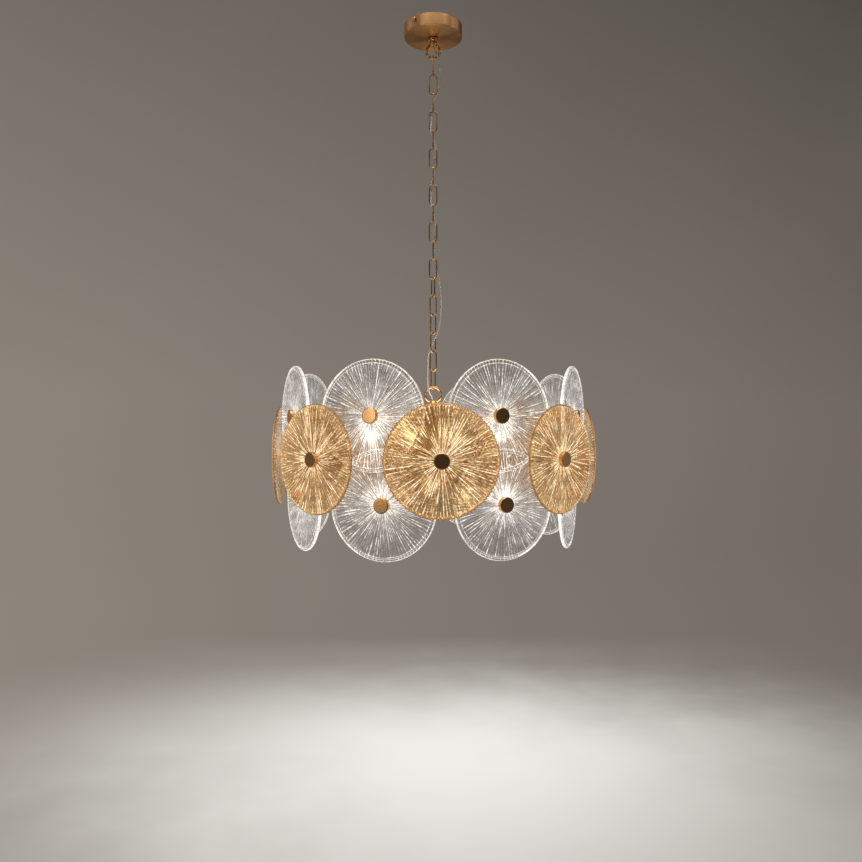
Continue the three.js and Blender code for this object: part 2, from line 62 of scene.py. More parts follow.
MM = 0.001
FULL_TURN = 2 * math.pi
AROUND = 8  # discs of a tier, arms of a kind and lamps
STEP = FULL_TURN / AROUND
FLUTES = 96  # in each disc
GAP = 0.3  # air between two pieces that meet, in millimetres
WELD = 1e-4  # corners closer than this become one, in millimetres
CRISP = 38.0  # edges that bend by more than these degrees stay crisp
BOW = 0.48  # the most of a stretch that the curve at one of its ends takes up
BRASS = "polished_brass"
Colour = tuple[float, float, float]
Point = tuple[float, float, float]
Profile = Sequence[Sequence[float]]
Section = tuple[Vector, Vector, Vector]
Term = Union[float, tuple, "Value", bpy.types.ID]


def maths(operation: str, reflected: bool = False) -> Callable[..., "Value"]:
    """Makes a method of Value that adds one Math node.

    Args:
        operation: the node's operation.
        reflected: whether the value comes after the other term.

    Returns:
        The method.
    """
    def method(self: "Value", *others: Term) -> "Value":
        """Adds the node and gives its result."""
        terms = (*others, self) if reflected else (self, *others)
        return self.wiring.node("ShaderNodeMath", {"operation": operation}, dict(enumerate(terms)))

    return method


@dataclass(frozen=True)
class Value:
    """An output socket that Python's operators work on."""

    wiring: "Wiring"
    socket: bpy.types.NodeSocket

    __add__, __radd__ = maths("ADD"), maths("ADD", True)
    __sub__, __rsub__ = maths("SUBTRACT"), maths("SUBTRACT", True)
    __mul__, __rmul__ = maths("MULTIPLY"), maths("MULTIPLY", True)
    __truediv__, __pow__, __abs__ = maths("DIVIDE"), maths("POWER"), maths("ABSOLUTE")
    least, most, heading = maths("MINIMUM"), maths("MAXIMUM"), maths("ARCTAN2")
    sine, sign, exponent = maths("SINE"), maths("SIGN"), maths("EXPONENT")

    def out(self, name: str) -> "Value":
        """Another output of the same node."""
        return Value(self.wiring, self.socket.node.outputs[name])

    def split(self) -> tuple["Value", "Value", "Value"]:
        """The three parts of a vector."""
        first = self.wiring.node("ShaderNodeSeparateXYZ", {}, {0: self})
        return first, first.out("Y"), first.out("Z")

    def ramp(self, low: Term, high: Term) -> "Value":
        """Rises smoothly from 0 at low to 1 at high, which may be the smaller of the two."""
        ends = {"Value": self, "From Min": low, "From Max": high}
        return self.wiring.node("ShaderNodeMapRange", {"interpolation_type": "SMOOTHSTEP"}, ends)


@dataclass(frozen=True)
class Wiring:
    """A node tree under construction, for a finish or for a shape."""

    tree: bpy.types.NodeTree

    def put(self, socket: bpy.types.NodeSocket, term: Term) -> None:
        """Links a socket or sets it.

        Args:
            socket: the input socket.
            term: a Value to link from, or a plain value or data block.
        """
        if isinstance(term, Value):
            self.tree.links.new(term.socket, socket)
        else:
            socket.default_value = (*term, 1.0) if socket.type == "RGBA" else term

    def node(self, kind: str, settings: dict[str, Any] | None = None,
             sockets: dict[str | int, Term] | None = None, out: str | int = 0) -> Value | None:
        """Adds a node.

        Args:
            kind: the node's type.
            settings: its properties; "stops" sets a colour ramp's stops.
            sockets: values or links of its inputs, by name or number.
            out: the output that is returned.

        Returns:
            One output of the node, if it has any.
        """
        node = self.tree.nodes.new(kind)
        for name, setting in (settings or {}).items():
            if name == "stops":
                self.set_stops(node.color_ramp, setting)
            else:
                setattr(node, name, setting)
        for name, term in (sockets or {}).items():
            self.put(node.inputs[name], term)
        return Value(self, node.outputs[out]) if node.outputs else None

    @staticmethod
    def set_stops(ramp: bpy.types.ColorRamp, stops: Sequence[tuple[float, Colour]]) -> None:
        """Gives a colour ramp its stops.

        Args:
            ramp: the node's ramp.
            stops: place and colour of each stop.
        """
        while len(ramp.elements) < len(stops):
            ramp.elements.new(0.5)
        for element, (place, colour) in zip(ramp.elements, stops):
            element.position = place
            element.color = (*colour, 1.0)

    def place(self, output: str = "Object") -> Value:
        """Where a point is on the light, in metres."""
        return self.node("ShaderNodeTexCoord", {}, {}, output)

    def noise(self, place: Term, scale: float, detail: float = 2.0, rough: float = 0.5) -> Value:
        """Smooth noise between 0 and 1 at a place."""
        sockets = {"Vector": place, "Scale": scale, "Detail": detail, "Roughness": rough}
        return self.node("ShaderNodeTexNoise", {}, sockets)

    def vector(self, x: Term, y: Term, z: Term) -> Value:
        """A vector from its three parts."""
        return self.node("ShaderNodeCombineXYZ", {}, {0: x, 1: y, 2: z})

    def mix(self, share: Term, start: Term, end: Term) -> Value:
        """A colour between two colours."""
        return self.node("ShaderNodeMix", {"data_type": "RGBA"}, {0: share, 6: start, 7: end}, 2)

    def bump(self, height: Value, distance: float, strength: float = 1.0) -> Value:
        """A bumped normal from a height between 0 and 1."""
        sockets = {"Height": height, "Distance": distance, "Strength": strength}
        return self.node("ShaderNodeBump", {}, sockets)


def pressed_phase(wiring: Wiring, up: Value, aside: Value, east: Value, north: Value,
                  seed: Value, flutes: Term) -> Value:
    """How far a point of a disc is from the nearest groove between two flutes.

    Args:
        wiring: the tree of the shape or of the finish, which press the same grooves.
        up: the point's height over the disc's middle.
        aside: its distance to the side.
        east: the same as a share of the radius.
        north: the height as a share of the radius.
        seed: the disc's own number.
        flutes: how many flutes there are.

    Returns:
        0 in a groove and 1 on top of a flute.
    """
    turn = up.heading(aside) * (1 / FULL_TURN)
    wander = wiring.noise(wiring.vector(east, north, seed), 4.0) - 0.5
    return abs(((turn * flutes + wander * 2.2) * math.pi).sine())


@dataclass(frozen=True)
class Finish:
    """What all finishes share: a material, most often with one Principled shader."""

    name: str
    glows: ClassVar[bool] = False

    def make(self) -> bpy.types.Material:
        """Makes the finish.

        Returns:
            The material.
        """
        material = bpy.data.materials.new(self.name)
        material.use_nodes = True
        material.node_tree.nodes.clear()
        wiring = Wiring(material.node_tree)
        wiring.node("ShaderNodeOutputMaterial", {}, {"Surface": self.shader(wiring)})
        if self.glows:
            material.cycles.emission_sampling = "NONE"
        return material

    def shader(self, wiring: Wiring) -> Value:
        """The shader of the whole surface."""
        return wiring.node("ShaderNodeBsdfPrincipled", {}, self.sockets(wiring))

    def sockets(self, wiring: Wiring) -> dict[str, Term]:
        """What goes into the Principled shader.

        Args:
            wiring: the material's tree.

        Returns:
            Values and links by socket.
        """
        raise NotImplementedError


@dataclass(frozen=True)
class Metal(Finish):
    """Lacquered or plated metal with soft clouding, fine turning marks and small spots.

    It is painted darker below light_from and above light_to, which are heights in metres: painted
    shade.
    """

    light: Colour
    dark: Colour
    roughness: float
    clouding: float = 0.35
    marks: float = 0.00002
    spun: float = 0.0
    light_from: float = -9.0
    light_to: float = 9.0

    def sockets(self, wiring: Wiring) -> dict[str, Term]:
        """Clouds, spots and turning marks.

        Args:
            wiring: the material's tree.

        Returns:
            Values and links by socket.
        """
        place = wiring.place()
        cloud = wiring.noise(place, 38.0, 4.0, 0.6)
        spots = wiring.noise(place, 420.0).ramp(0.62, 0.75)
        fine = wiring.noise(place, 2600.0, 1.0)
        height = place.split()[2]
        # painted shade: darker below light_from and above light_to
        painted_shade = (height.ramp(self.light_from, self.light_from - MM) * 0.8
                  + height.ramp(self.light_to, self.light_to + MM))
        share = (cloud.ramp(0.35, 0.75) * self.clouding + spots * 0.18 + painted_shade).least(1.0)
        return {
            "Base Color": wiring.mix(share, self.light, self.dark),
            "Metallic": 1.0,
            "Roughness": cloud * 0.16 + fine * 0.06 + (self.roughness - 0.1),
            "Anisotropic": self.spun,
            "Anisotropic Rotation": 0.25,
            "Normal": wiring.bump(fine + spots * 0.5, self.marks),
        }


@dataclass(frozen=True)
class Moulded(Finish):
    """Moulded plastic or glazed ceramic with a faint mottle."""

    colour: Colour
    roughness: float

    def sockets(self, wiring: Wiring) -> dict[str, Term]:
        """A mottled colour and a fine grain.

        Args:
            wiring: the material's tree.

        Returns:
            Values and links by socket.
        """
        place = wiring.place()
        mottle = wiring.noise(place, 90.0, 3.0).ramp(0.3, 0.8)
        grain = wiring.noise(place, 1800.0)
        worn = tuple(0.86 * part for part in self.colour)
        return {
            "Base Color": wiring.mix(mottle, self.colour, worn),
            "Roughness": grain * 0.15 + (self.roughness - 0.07),
            "Normal": wiring.bump(grain, 0.00003),
        }


@dataclass(frozen=True)
class LampGlass(Finish):
    """Frosted lamp glass, brightest round the filament.

    The arms' height, the filament's way from it and its spread are metres.
    """

    colour: Colour
    strength: float
    arms: float
    filament: float
    spread: float
    glows: ClassVar[bool] = True

    def sockets(self, wiring: Wiring) -> dict[str, Term]:
        """A hot middle that dims towards both ends of the capsule.

        Args:
            wiring: the material's tree.

        Returns:
            Values and links by socket.
        """
        place = wiring.place()
        away = (abs(place.split()[2] - self.arms) - self.filament) / self.spread
        frost = wiring.noise(place, 900.0)
        hot = abs(away).ramp(1.0, 0.2) * (frost * 0.2 + 0.8)
        dim = tuple(0.16 * part * share for part, share in zip(self.colour, (1.0, 0.9, 0.75)))
        return {
            "Base Color": (0.8, 0.78, 0.74),
            "Roughness": frost * 0.2 + 0.3,
            "Emission Color": wiring.mix(hot, dim, self.colour),
            "Emission Strength": self.strength,
        }


@dataclass(frozen=True)
class ClearSleeve(Finish):
    """Clear soft sleeve over the conductors of the flex."""

    colour: Colour

    def sockets(self, wiring: Wiring) -> dict[str, Term]:
        """Half clear, with a slight haze.

        Args:
            wiring: the material's tree.

        Returns:
            Values and links by socket.
        """
        haze = wiring.noise(wiring.place(), 300.0)
        cloudy = tuple(0.8 * part for part in self.colour)
        return {
            "Base Color": wiring.mix(haze, self.colour, cloudy),
            "Roughness": haze * 0.2 + 0.1,
            "IOR": 1.45,
            "Transmission Weight": 0.5,
            "Normal": wiring.bump(haze, 0.00005),
        }


class Rim(Enum):
    """How a disc's edge is pressed."""

    SCALLOPED = "flutes run over the edge"
    BEADED = "a smooth bead outside a groove"


@dataclass(frozen=True)
class PressedGlass(Finish):
    """Pressed glass with seeds, whose flutes carry painted glints and a painted glow where the
    lamps stand behind it, and a painted bright rim.
    """

    body: Colour
    # the colour below is painted shade along the grooves
    groove_shade: Colour
    seam: Colour
    # painted light: the emission's colour stops, the painted haze, and how bright the painted
    # glints are on the lines, by the lamps and on the rim
    glow: tuple[tuple[float, Colour], ...]
    haze: float
    frost: float
    line_gleam: float
    lamp_gleam: float
    rim_gleam: float
    seam_from: float
    rim: Rim
    glows: ClassVar[bool] = True

    def sockets(self, wiring: Wiring) -> dict[str, Term]:
        """Painted glints along the flutes, painted haze between them, painted glow by the lamps
        behind and a painted bright rim.

        Args:
            wiring: the material's tree.

        Returns:
            Values and links by socket.
        """
        x, y, _ = wiring.node("ShaderNodeUVMap", {"uv_map": "pressing"}).split()
        across, along = x * 2.0 - 1.0, y * 2.0 - 1.0
        radius = (across * across + along * along) ** 0.5
        east, north = across / radius.most(0.02), along / radius.most(0.02)
        # the lamp glow attribute is a painted glow round the places of the lamps behind the disc
        lamp, seed, outward = (
            wiring.node("ShaderNodeAttribute", {"attribute_name": name}, {}, "Fac")
            for name in ("lamp_light", "seed", "outward"))
        flat = wiring.vector(across, along, seed)
        beaded_rim = self.rim is Rim.BEADED

        def rays(stretch: float, scale: float) -> Value:
            """Noise drawn out along the radius."""
            return wiring.noise(wiring.vector(east, north, radius * stretch + seed), scale)

        # the emission below is painted light: glints along the flutes, haze, sparks and a glow by
        # the lamps
        flute = pressed_phase(wiring, along, across, east, north, seed, FLUTES)
        strong = rays(0.16, 19.0).ramp(0.44, 0.62)
        dashes = rays(1.5, 14.0).ramp(0.38, 0.66)
        broken = dashes * 0.6 + 0.4
        if not beaded_rim:
            beads = (radius * 88.0 + rays(0.1, 30.0) * 16.0).sine().ramp(-0.4, 0.6)
            beaded = rays(0.0, 2.2).ramp(0.42, 0.6) * radius.ramp(0.45, 0.75) * 0.6
            broken = broken * (1.0 - (1.0 - beads) * beaded)
        drawn = flute * (radius * 0.8 + 0.14)
        lines = drawn.ramp(0.5, 0.16) * (strong * 0.78 + 0.22) * broken
        if not beaded_rim:
            ribs = flute.ramp(0.55, 0.2) * radius.ramp(0.7, 0.82)
            lines = lines.most(ribs * (dashes * 0.3 + 0.25))
        between = rays(0.3, 12.0).ramp(0.4, 0.72) * rays(0.8, 24.0).ramp(0.35, 0.65)
        patches = wiring.noise(flat, 7.0).ramp(0.42, 0.68)
        sparks = wiring.noise(flat, 40.0, 2.0, 0.6).ramp(0.69, 0.78)
        pressed = radius.ramp(0.94, 0.92) if beaded_rim else 1.0 - radius.ramp(0.985, 0.998)
        glow = (lines * (self.line_gleam + radius.ramp(0.4, 0.16) * 0.2)
                + (between * 0.6 + patches * 0.5) * self.haze)
        glow = (glow + sparks * self.line_gleam * 0.8) * pressed * outward
        glow = glow + (lamp * lines * 1.3 + lamp ** 4.0) * self.lamp_gleam * outward

        # painted highlights on the rim's bead, shoulder and ribs, or painted dots on a scalloped
        # rim
        if beaded_rim:
            part = rays(0.0, 2.6).ramp(0.32, 0.52)
            ribs = flute.ramp(0.45, 0.2) * radius.ramp(0.925, 0.93) * radius.ramp(0.985, 0.98)
            shoulder = radius.ramp(0.914, 0.921) * radius.ramp(0.932, 0.926) * outward
            bead = radius.ramp(0.98, 0.988) * (dashes * 0.4 + 0.5)
            rim = bead + shoulder * (dashes * 0.5 + 0.3) + ribs * part * outward
        else:
            dots = flute.ramp(0.45, 0.9) * radius.ramp(0.945, 0.96) * radius.ramp(0.99, 0.975)
            rim = dots * (strong * 0.6 + 0.4)
        glow = (glow + rim * self.rim_gleam).least(1.0)
        # painted shade: a darker tint along the grooves where the painted glints are weak
        painted_shade = drawn.ramp(0.62, 0.2) * (1.0 - strong) * (1.0 - dashes * 0.4)
        tint = wiring.mix((painted_shade * outward).least(1.0), self.body, self.groove_shade)
        edge = radius.ramp(self.seam_from, self.seam_from + 0.01)
        relief = (1.0 - flute) * (strong * 0.4 + 0.6) + rays(0.5, 13.0) * 0.2
        return {
            "Base Color": wiring.mix(edge, tint, self.seam),
            "Roughness": dashes * 0.03 + (0.015 + self.frost),
            "IOR": 1.5,
            "Transmission Weight": 1.0,
            "Normal": wiring.bump(relief, 0.0004, 0.6),
            "Emission Color": wiring.node(
                "ShaderNodeValToRGB", {"stops": self.glow}, {"Fac": glow}),
            "Emission Strength": 1.0,
        }


@dataclass(frozen=True)
class Surroundings(Finish):
    """Pale floor with a painted pool of light that rises into a warm grey wall, painted darker to
    the right and upwards.
    """

    wall: Colour
    pool: Colour
    pool_middle: tuple[float, float]
    pool_width: float
    pool_behind: float
    pool_before: float

    def shader(self, wiring: Wiring) -> Value:
        """Matt to the light's glow and lamps, and plain where it is seen.

        Args:
            wiring: the material's tree.

        Returns:
            The mixed shader.
        """
        place = wiring.place()
        across, along, up = place.split()
        cloud = wiring.noise(place, 0.9, 3.0)
        drift = wiring.noise(place, 1.7, 3.0, 0.6) - 0.5
        # painted pool of light on the floor
        side, middle = self.pool_middle
        aside = (across - side + drift * 0.5) / self.pool_width
        ahead = along - middle + drift * 0.4
        ahead = ahead.most(0.0) / self.pool_behind + ahead.least(0.0) / self.pool_before
        pool = ((aside * aside + ahead * ahead) * -1.0).exponent()
        # painted shade: darker to the right, and on the wall higher up
        level = 1.06 - across * 0.095 - (up + 0.5).most(0.0) * 0.165 + cloud * 0.1
        wall = wiring.node("ShaderNodeVectorMath", {"operation": "SCALE"}, {
            0: self.wall, "Scale": level.most(0.3)})
        colour = {"Color": wiring.mix(pool * up.ramp(-1.9, -1.985), wall, self.pool)}
        path = wiring.node("ShaderNodeLightPath", {}, {}, "Is Camera Ray")
        seen = path.most(path.out("Is Glossy Ray")).most(path.out("Is Transmission Ray"))
        return wiring.node("ShaderNodeMixShader", {}, {
            0: seen * 0.9,
            1: wiring.node("ShaderNodeBsdfDiffuse", {}, colour),
            2: wiring.node("ShaderNodeEmission", {}, colour),
        })


def softened(points: Profile, radius: float, steps: int = 3) -> list[Vector]:
    """Rounds the corners inside a profile or a path.

    Args:
        points: the corners, in two dimensions or three.
        radius: how far from a corner its curve starts, at most.
        steps: points on each curve, less one.

    Returns:
        The points with the inner corners rounded.
    """
    line = [Vector(point) for point in points]
    rounded = [line[0]]
    for before, corner, after in zip(line, line[1:], line[2:]):
        start, end = (corner + way.normalized() * min(radius, BOW * way.length)
                      for way in (before - corner, after - corner))
        for step in range(steps + 1):
            t = step / steps
            rounded.append(start * (1 - t) ** 2 + corner * (2 * t * (1 - t)) + end * t * t)
    return [*rounded, line[-1]]


def sections(path: Sequence[Vector]) -> list[Section]:
    """Section frames along a path, carried from point to point without twist.

    Args:
        path: points in order.

    Returns:
        For each point, the point and two directions across the path.
    """
    found = []
    side = None
    for index, point in enumerate(path):
        before, after = path[max(0, index - 1)], path[min(len(path) - 1, index + 1)]
        along = (after - before).normalized()
        if side is None:
            side = along.orthogonal().normalized()
        side = (side - along * side.dot(along)).normalized()
        found.append((point, side, along.cross(side)))
    return found


@dataclass
class Shape:
    """A mesh under construction, in millimetres."""

    body: bmesh.types.BMesh = field(default_factory=bmesh.new)

    def joined(self, rings: Sequence[Sequence[bmesh.types.BMVert]], steps: int) -> "Shape":
        """Makes the faces between rings of corners.

        Args:
            rings: the rings in order; one of a single corner is a pole.
            steps: corners in a full ring.

        Returns:
            The same shape.
        """
        for low, high in zip(rings, rings[1:]):
            for step in range(steps):
                after = (step + 1) % steps
                corners = dict.fromkeys([low[step % len(low)], low[after % len(low)],
                                         high[after % len(high)], high[step % len(high)]])
                if len(corners) > 2:
                    self.body.faces.new(list(corners))
        return self

    def turned(self, profile: Profile, steps: int, front_at: float | None = None,
               ripple: tuple[int, float] = (0, 0.0), closed: bool = False) -> "Shape":
        """Turns a profile about the upright axis, or about one that runs to the front.

        Args:
            profile: points of radius and distance along the axis.
            steps: facets in a full turn.
            front_at: the height of the axis to the front, or None for the upright axis.
            ripple: count and depth of ribs round the widest stretches.
            closed: whether the last point joins the first, as on a tube or a ring.

        Returns:
            The same shape.
        """
        widest = max(radius for radius, _ in profile)
        count, depth = ripple
        rings = []
        for radius, along in profile:
            ring = []
            for step in range(steps if radius > WELD else 1):
                angle = FULL_TURN * step / steps
                reach = radius
                if radius > 0.9 * widest:
                    reach -= depth * (0.5 - 0.5 * math.cos(count * angle))
                x, y = reach * math.cos(angle), reach * math.sin(angle)
                corner = (x, y, along) if front_at is None else (x, -along, y + front_at)
                ring.append(self.body.verts.new(corner))
            rings.append(ring)
        return self.joined([*rings, rings[0]] if closed else rings, steps)

    def tube(self, path: Sequence[Vector], radius: float, sides: int = 16) -> "Shape":
        """Sweeps a round section along a path and closes its ends.

        Args:
            path: points in order.
            radius: the section's radius.
            sides: the section's facets.

        Returns:
            The same shape.
        """
        rings = []
        for middle, side, up in sections(path):
            angles = (FULL_TURN * step / sides for step in range(sides))
            rings.append([self.body.verts.new(middle + (
                side * (radius * math.cos(angle)) + up * (radius * math.sin(angle))))
                for angle in angles])
        self.joined(rings, sides)
        self.body.faces.new(rings[0])
        self.body.faces.new(rings[-1])
        return self

    def moved(self, matrix: Matrix) -> "Shape":
        """Places all that is in the shape so far."""
        bmesh.ops.transform(self.body, matrix=matrix, verts=self.body.verts)
        return self

    def mesh(self, name: str, finish: bpy.types.Material | None = None,
             sharp: float = CRISP) -> bpy.types.Mesh:
        """Turns the shape into a mesh in metres.

        Args:
            name: the mesh's name.
            finish: its material.
            sharp: edges that bend by more than these degrees stay crisp.

        Returns:
            The finished mesh.
        """
        bmesh.ops.remove_doubles(self.body, verts=self.body.verts, dist=WELD)
        bmesh.ops.recalc_face_normals(self.body, faces=self.body.faces)
        bmesh.ops.scale(self.body, vec=(MM, MM, MM), verts=self.body.verts)
        mesh = bpy.data.meshes.new(name)
        self.body.to_mesh(mesh)
        self.body.free()
        mesh.shade_smooth()
        mesh.set_sharp_from_angle(angle=math.radians(sharp))
        if finish:
            mesh.materials.append(finish)
        return mesh


def placed(name: str, data: bpy.types.ID) -> bpy.types.Object:
    """Puts an object into the scene.

    Args:
        name: the object's name.
        data: its mesh, light or camera.

    Returns:
        The object, at the origin.
    """
    thing = bpy.data.objects.new(name, data)
    bpy.context.scene.collection.objects.link(thing)
    return thing


class Growth:
    """A Geometry Nodes tree with named inputs that makes a mesh."""

    def __init__(self, name: str, **inputs: str) -> None:
        """Starts a tree.

        Args:
            name: the tree's name.
            inputs: for each kind of socket, the names of its inputs.
        """
        self.tree = bpy.data.node_groups.new(name, "GeometryNodeTree")
        self.wiring = Wiring(self.tree)
        self.identifiers = {}
        sockets = self.tree.interface
        for kind, names in inputs.items():
            for key in names.split(", "):
                socket = sockets.new_socket(key, in_out="INPUT", socket_type=f"NodeSocket{kind}")
                self.identifiers[key] = socket.identifier
        sockets.new_socket("Geometry", in_out="OUTPUT", socket_type="NodeSocketGeometry")
        self.entry = self.tree.nodes.new("NodeGroupInput")

    def input(self, name: str) -> Value:
        """One of the tree's named inputs."""
        return Value(self.wiring, self.entry.outputs[name])

    def finish(self, geometry: Value) -> "Growth":
        """Ends the tree: real geometry, smooth, with its material.

        Args:
            geometry: what the tree has made.

        Returns:
            The same tree.
        """
        for kind, sockets in (
            ("GeometryNodeRealizeInstances", {}),
            ("GeometryNodeSetShadeSmooth", {}),
            ("GeometryNodeSetMaterial", {"Material": self.input("Finish")}),
            ("NodeGroupOutput", {}),
        ):
            geometry = self.wiring.node(kind, {}, {"Geometry": geometry, **sockets})
        return self

    def grow(self, name: str, sharp: float | None = None, **values: Term) -> bpy.types.Mesh:
        """Runs the tree and keeps its mesh.

        Args:
            name: the mesh's name.
            sharp: edges that bend by more than these degrees stay crisp.
            values: the tree's inputs, with _ for a space in a name.

        Returns:
            A plain mesh, in metres, whose faces point outwards.
        """
        carrier = placed(name, bpy.data.meshes.new(name))
        modifier = carrier.modifiers.new(self.tree.name, "NODES")
        modifier.node_group = self.tree
        for key, value in values.items():
            modifier[self.identifiers[key.replace("_", " ").capitalize()]] = value
        carrier.update_tag()
        depsgraph = bpy.context.evaluated_depsgraph_get()
        mesh = bpy.data.meshes.new_from_object(
            carrier.evaluated_get(depsgraph), preserve_all_data_layers=True, depsgraph=depsgraph)
        carrier.modifiers.remove(modifier)
        bpy.data.objects.remove(carrier)
        mesh.name = name
        body = bmesh.new()
        body.from_mesh(mesh)
        if body.calc_volume(signed=True) < 0:
            bmesh.ops.reverse_faces(body, faces=body.faces)
            body.to_mesh(mesh)
        body.free()
        if sharp is not None:
            mesh.set_sharp_from_angle(angle=math.radians(sharp))
        return mesh


def bent_wire() -> Growth:
    """Makes the tree of a closed loop of round wire that faces the front.

    Returns:
        The tree.
    """
    growth = Growth("Closed wire loop", Float="Width, Height, Wire, Bow", Int="Steps, Sides",
                    Material="Finish")
    given, node = growth.input, growth.wiring.node
    wire = given("Wire")
    outline = node("GeometryNodeCurvePrimitiveQuadrilateral", {}, {
        "Width": given("Width") - wire, "Height": given("Height") - wire})
    bows = node("GeometryNodeFilletCurve", {"mode": "POLY"}, {
        "Curve": outline, "Count": given("Steps"), "Radius": given("Bow"), "Limit Radius": True})
    section = node("GeometryNodeCurvePrimitiveCircle", {}, {
        "Resolution": given("Sides"), "Radius": wire * 0.5})
    swept = node("GeometryNodeCurveToMesh", {}, {"Curve": bows, "Profile Curve": section})
    return growth.finish(node("GeometryNodeTransform", {}, {
        "Geometry": swept, "Rotation": (math.pi / 2, 0.0, 0.0)}))


def ring_of_pieces() -> Growth:
    """Makes the tree that repeats a piece round the stem, each copy facing outwards.

    Returns:
        The tree.
    """
    growth = Growth("Ring of pieces", Object="Piece", Int="Count", Float="First",
                    Material="Finish")
    given, node = growth.input, growth.wiring.node
    points = node("GeometryNodePoints", {}, {"Count": given("Count")})
    step = node("GeometryNodeInputIndex") * FULL_TURN / given("Count")
    piece = node("GeometryNodeObjectInfo", {}, {"Object": given("Piece")}, "Geometry")
    return growth.finish(node("GeometryNodeInstanceOnPoints", {}, {
        "Points": points, "Instance": piece,
        "Rotation": growth.wiring.vector(0.0, 0.0, given("First") + step)}))


def pressed_flutes() -> Growth:
    """Makes the tree that presses flutes into a plain disc and stores where its painted lamp glow
    falls.

    Returns:
        The tree.
    """
    growth = Growth(
        "Pressed flutes", Object="Piece", Int="Flutes", Material="Finish",
        Float="Radius, Thickness, Depth, Scallop, Inner, Outer, Seed, Spin, "
              "Lamp height, Lamp aside, Lamp spread, Lamp share, Lamp twin")
    given, wiring = growth.input, growth.wiring
    node, noise, vector = wiring.node, wiring.noise, wiring.vector
    x, y, z = node("GeometryNodeInputPosition").split()
    radius = (x * x + z * z) ** 0.5
    east, north = x / radius.most(MM), z / radius.most(MM)
    share, seed, depth = radius / given("Radius"), given("Seed"), given("Depth")

    flute = pressed_phase(wiring, z, x, east, north, seed, given("Flutes"))
    swell = noise(vector(east, north, share * 0.5 + seed), 14.0) * 1.1 + 0.4
    slubs = noise(vector(x, z, seed), 70.0) - 0.5
    waves = noise(vector(east, north, share * 0.4 + seed), 16.0) - 0.5
    begun = share.ramp(0.17, 0.3)
    held = share.ramp(given("Outer"), given("Inner"))
    face = y.sign() * (abs(y) / given("Thickness")).ramp(0.3, 0.45)
    front, back = (0 - face).most(0.0), face.most(0.0)
    lift = ((flute - 0.6) * swell * begun + slubs * 0.15) * held * depth
    behind = (waves * 0.7 + slubs * 0.2) * begun * held * depth
    edge = (flute - 0.5) * given("Scallop") * share.ramp(0.93, 0.99)

    def marked(geometry: Value, name: str, value: Value, kind: str = "FLOAT",
               domain: str = "POINT") -> Value:
        """Keeps a value on the mesh under a name."""
        return node("GeometryNodeStoreNamedAttribute", {"data_type": kind, "domain": domain},
                    {"Geometry": geometry, "Name": name, "Value": value})

    blank = node("GeometryNodeObjectInfo", {}, {"Object": given("Piece")}, "Geometry")
    moved = node("GeometryNodeSetPosition", {}, {
        "Geometry": marked(blank, "outward", front),
        "Offset": vector(east * edge, behind * back - lift * front, north * edge)})
    size = given("Radius") * 2.0
    flat = vector(x / size + 0.5, z / size + 0.5, 0.0)
    spun = node("GeometryNodeTransform", {}, {
        "Geometry": marked(moved, "pressing", flat, "FLOAT2", "CORNER"),
        "Rotation": vector(0.0, given("Spin"), 0.0)})
    # painted lamp glow: a soft spot over each lamp behind the disc
    near = []
    for side in (1.0, -1.0):
        aside = (x - given("Lamp aside") * side) / given("Lamp spread")
        above = (z - given("Lamp height") * side) / given("Lamp spread")
        near.append(((aside * aside + above * above) * -1.0).exponent())
    light = (near[0] + near[1] * given("Lamp twin")) * given("Lamp share")
    return growth.finish(marked(marked(spun, "lamp_light", light), "seed", seed))


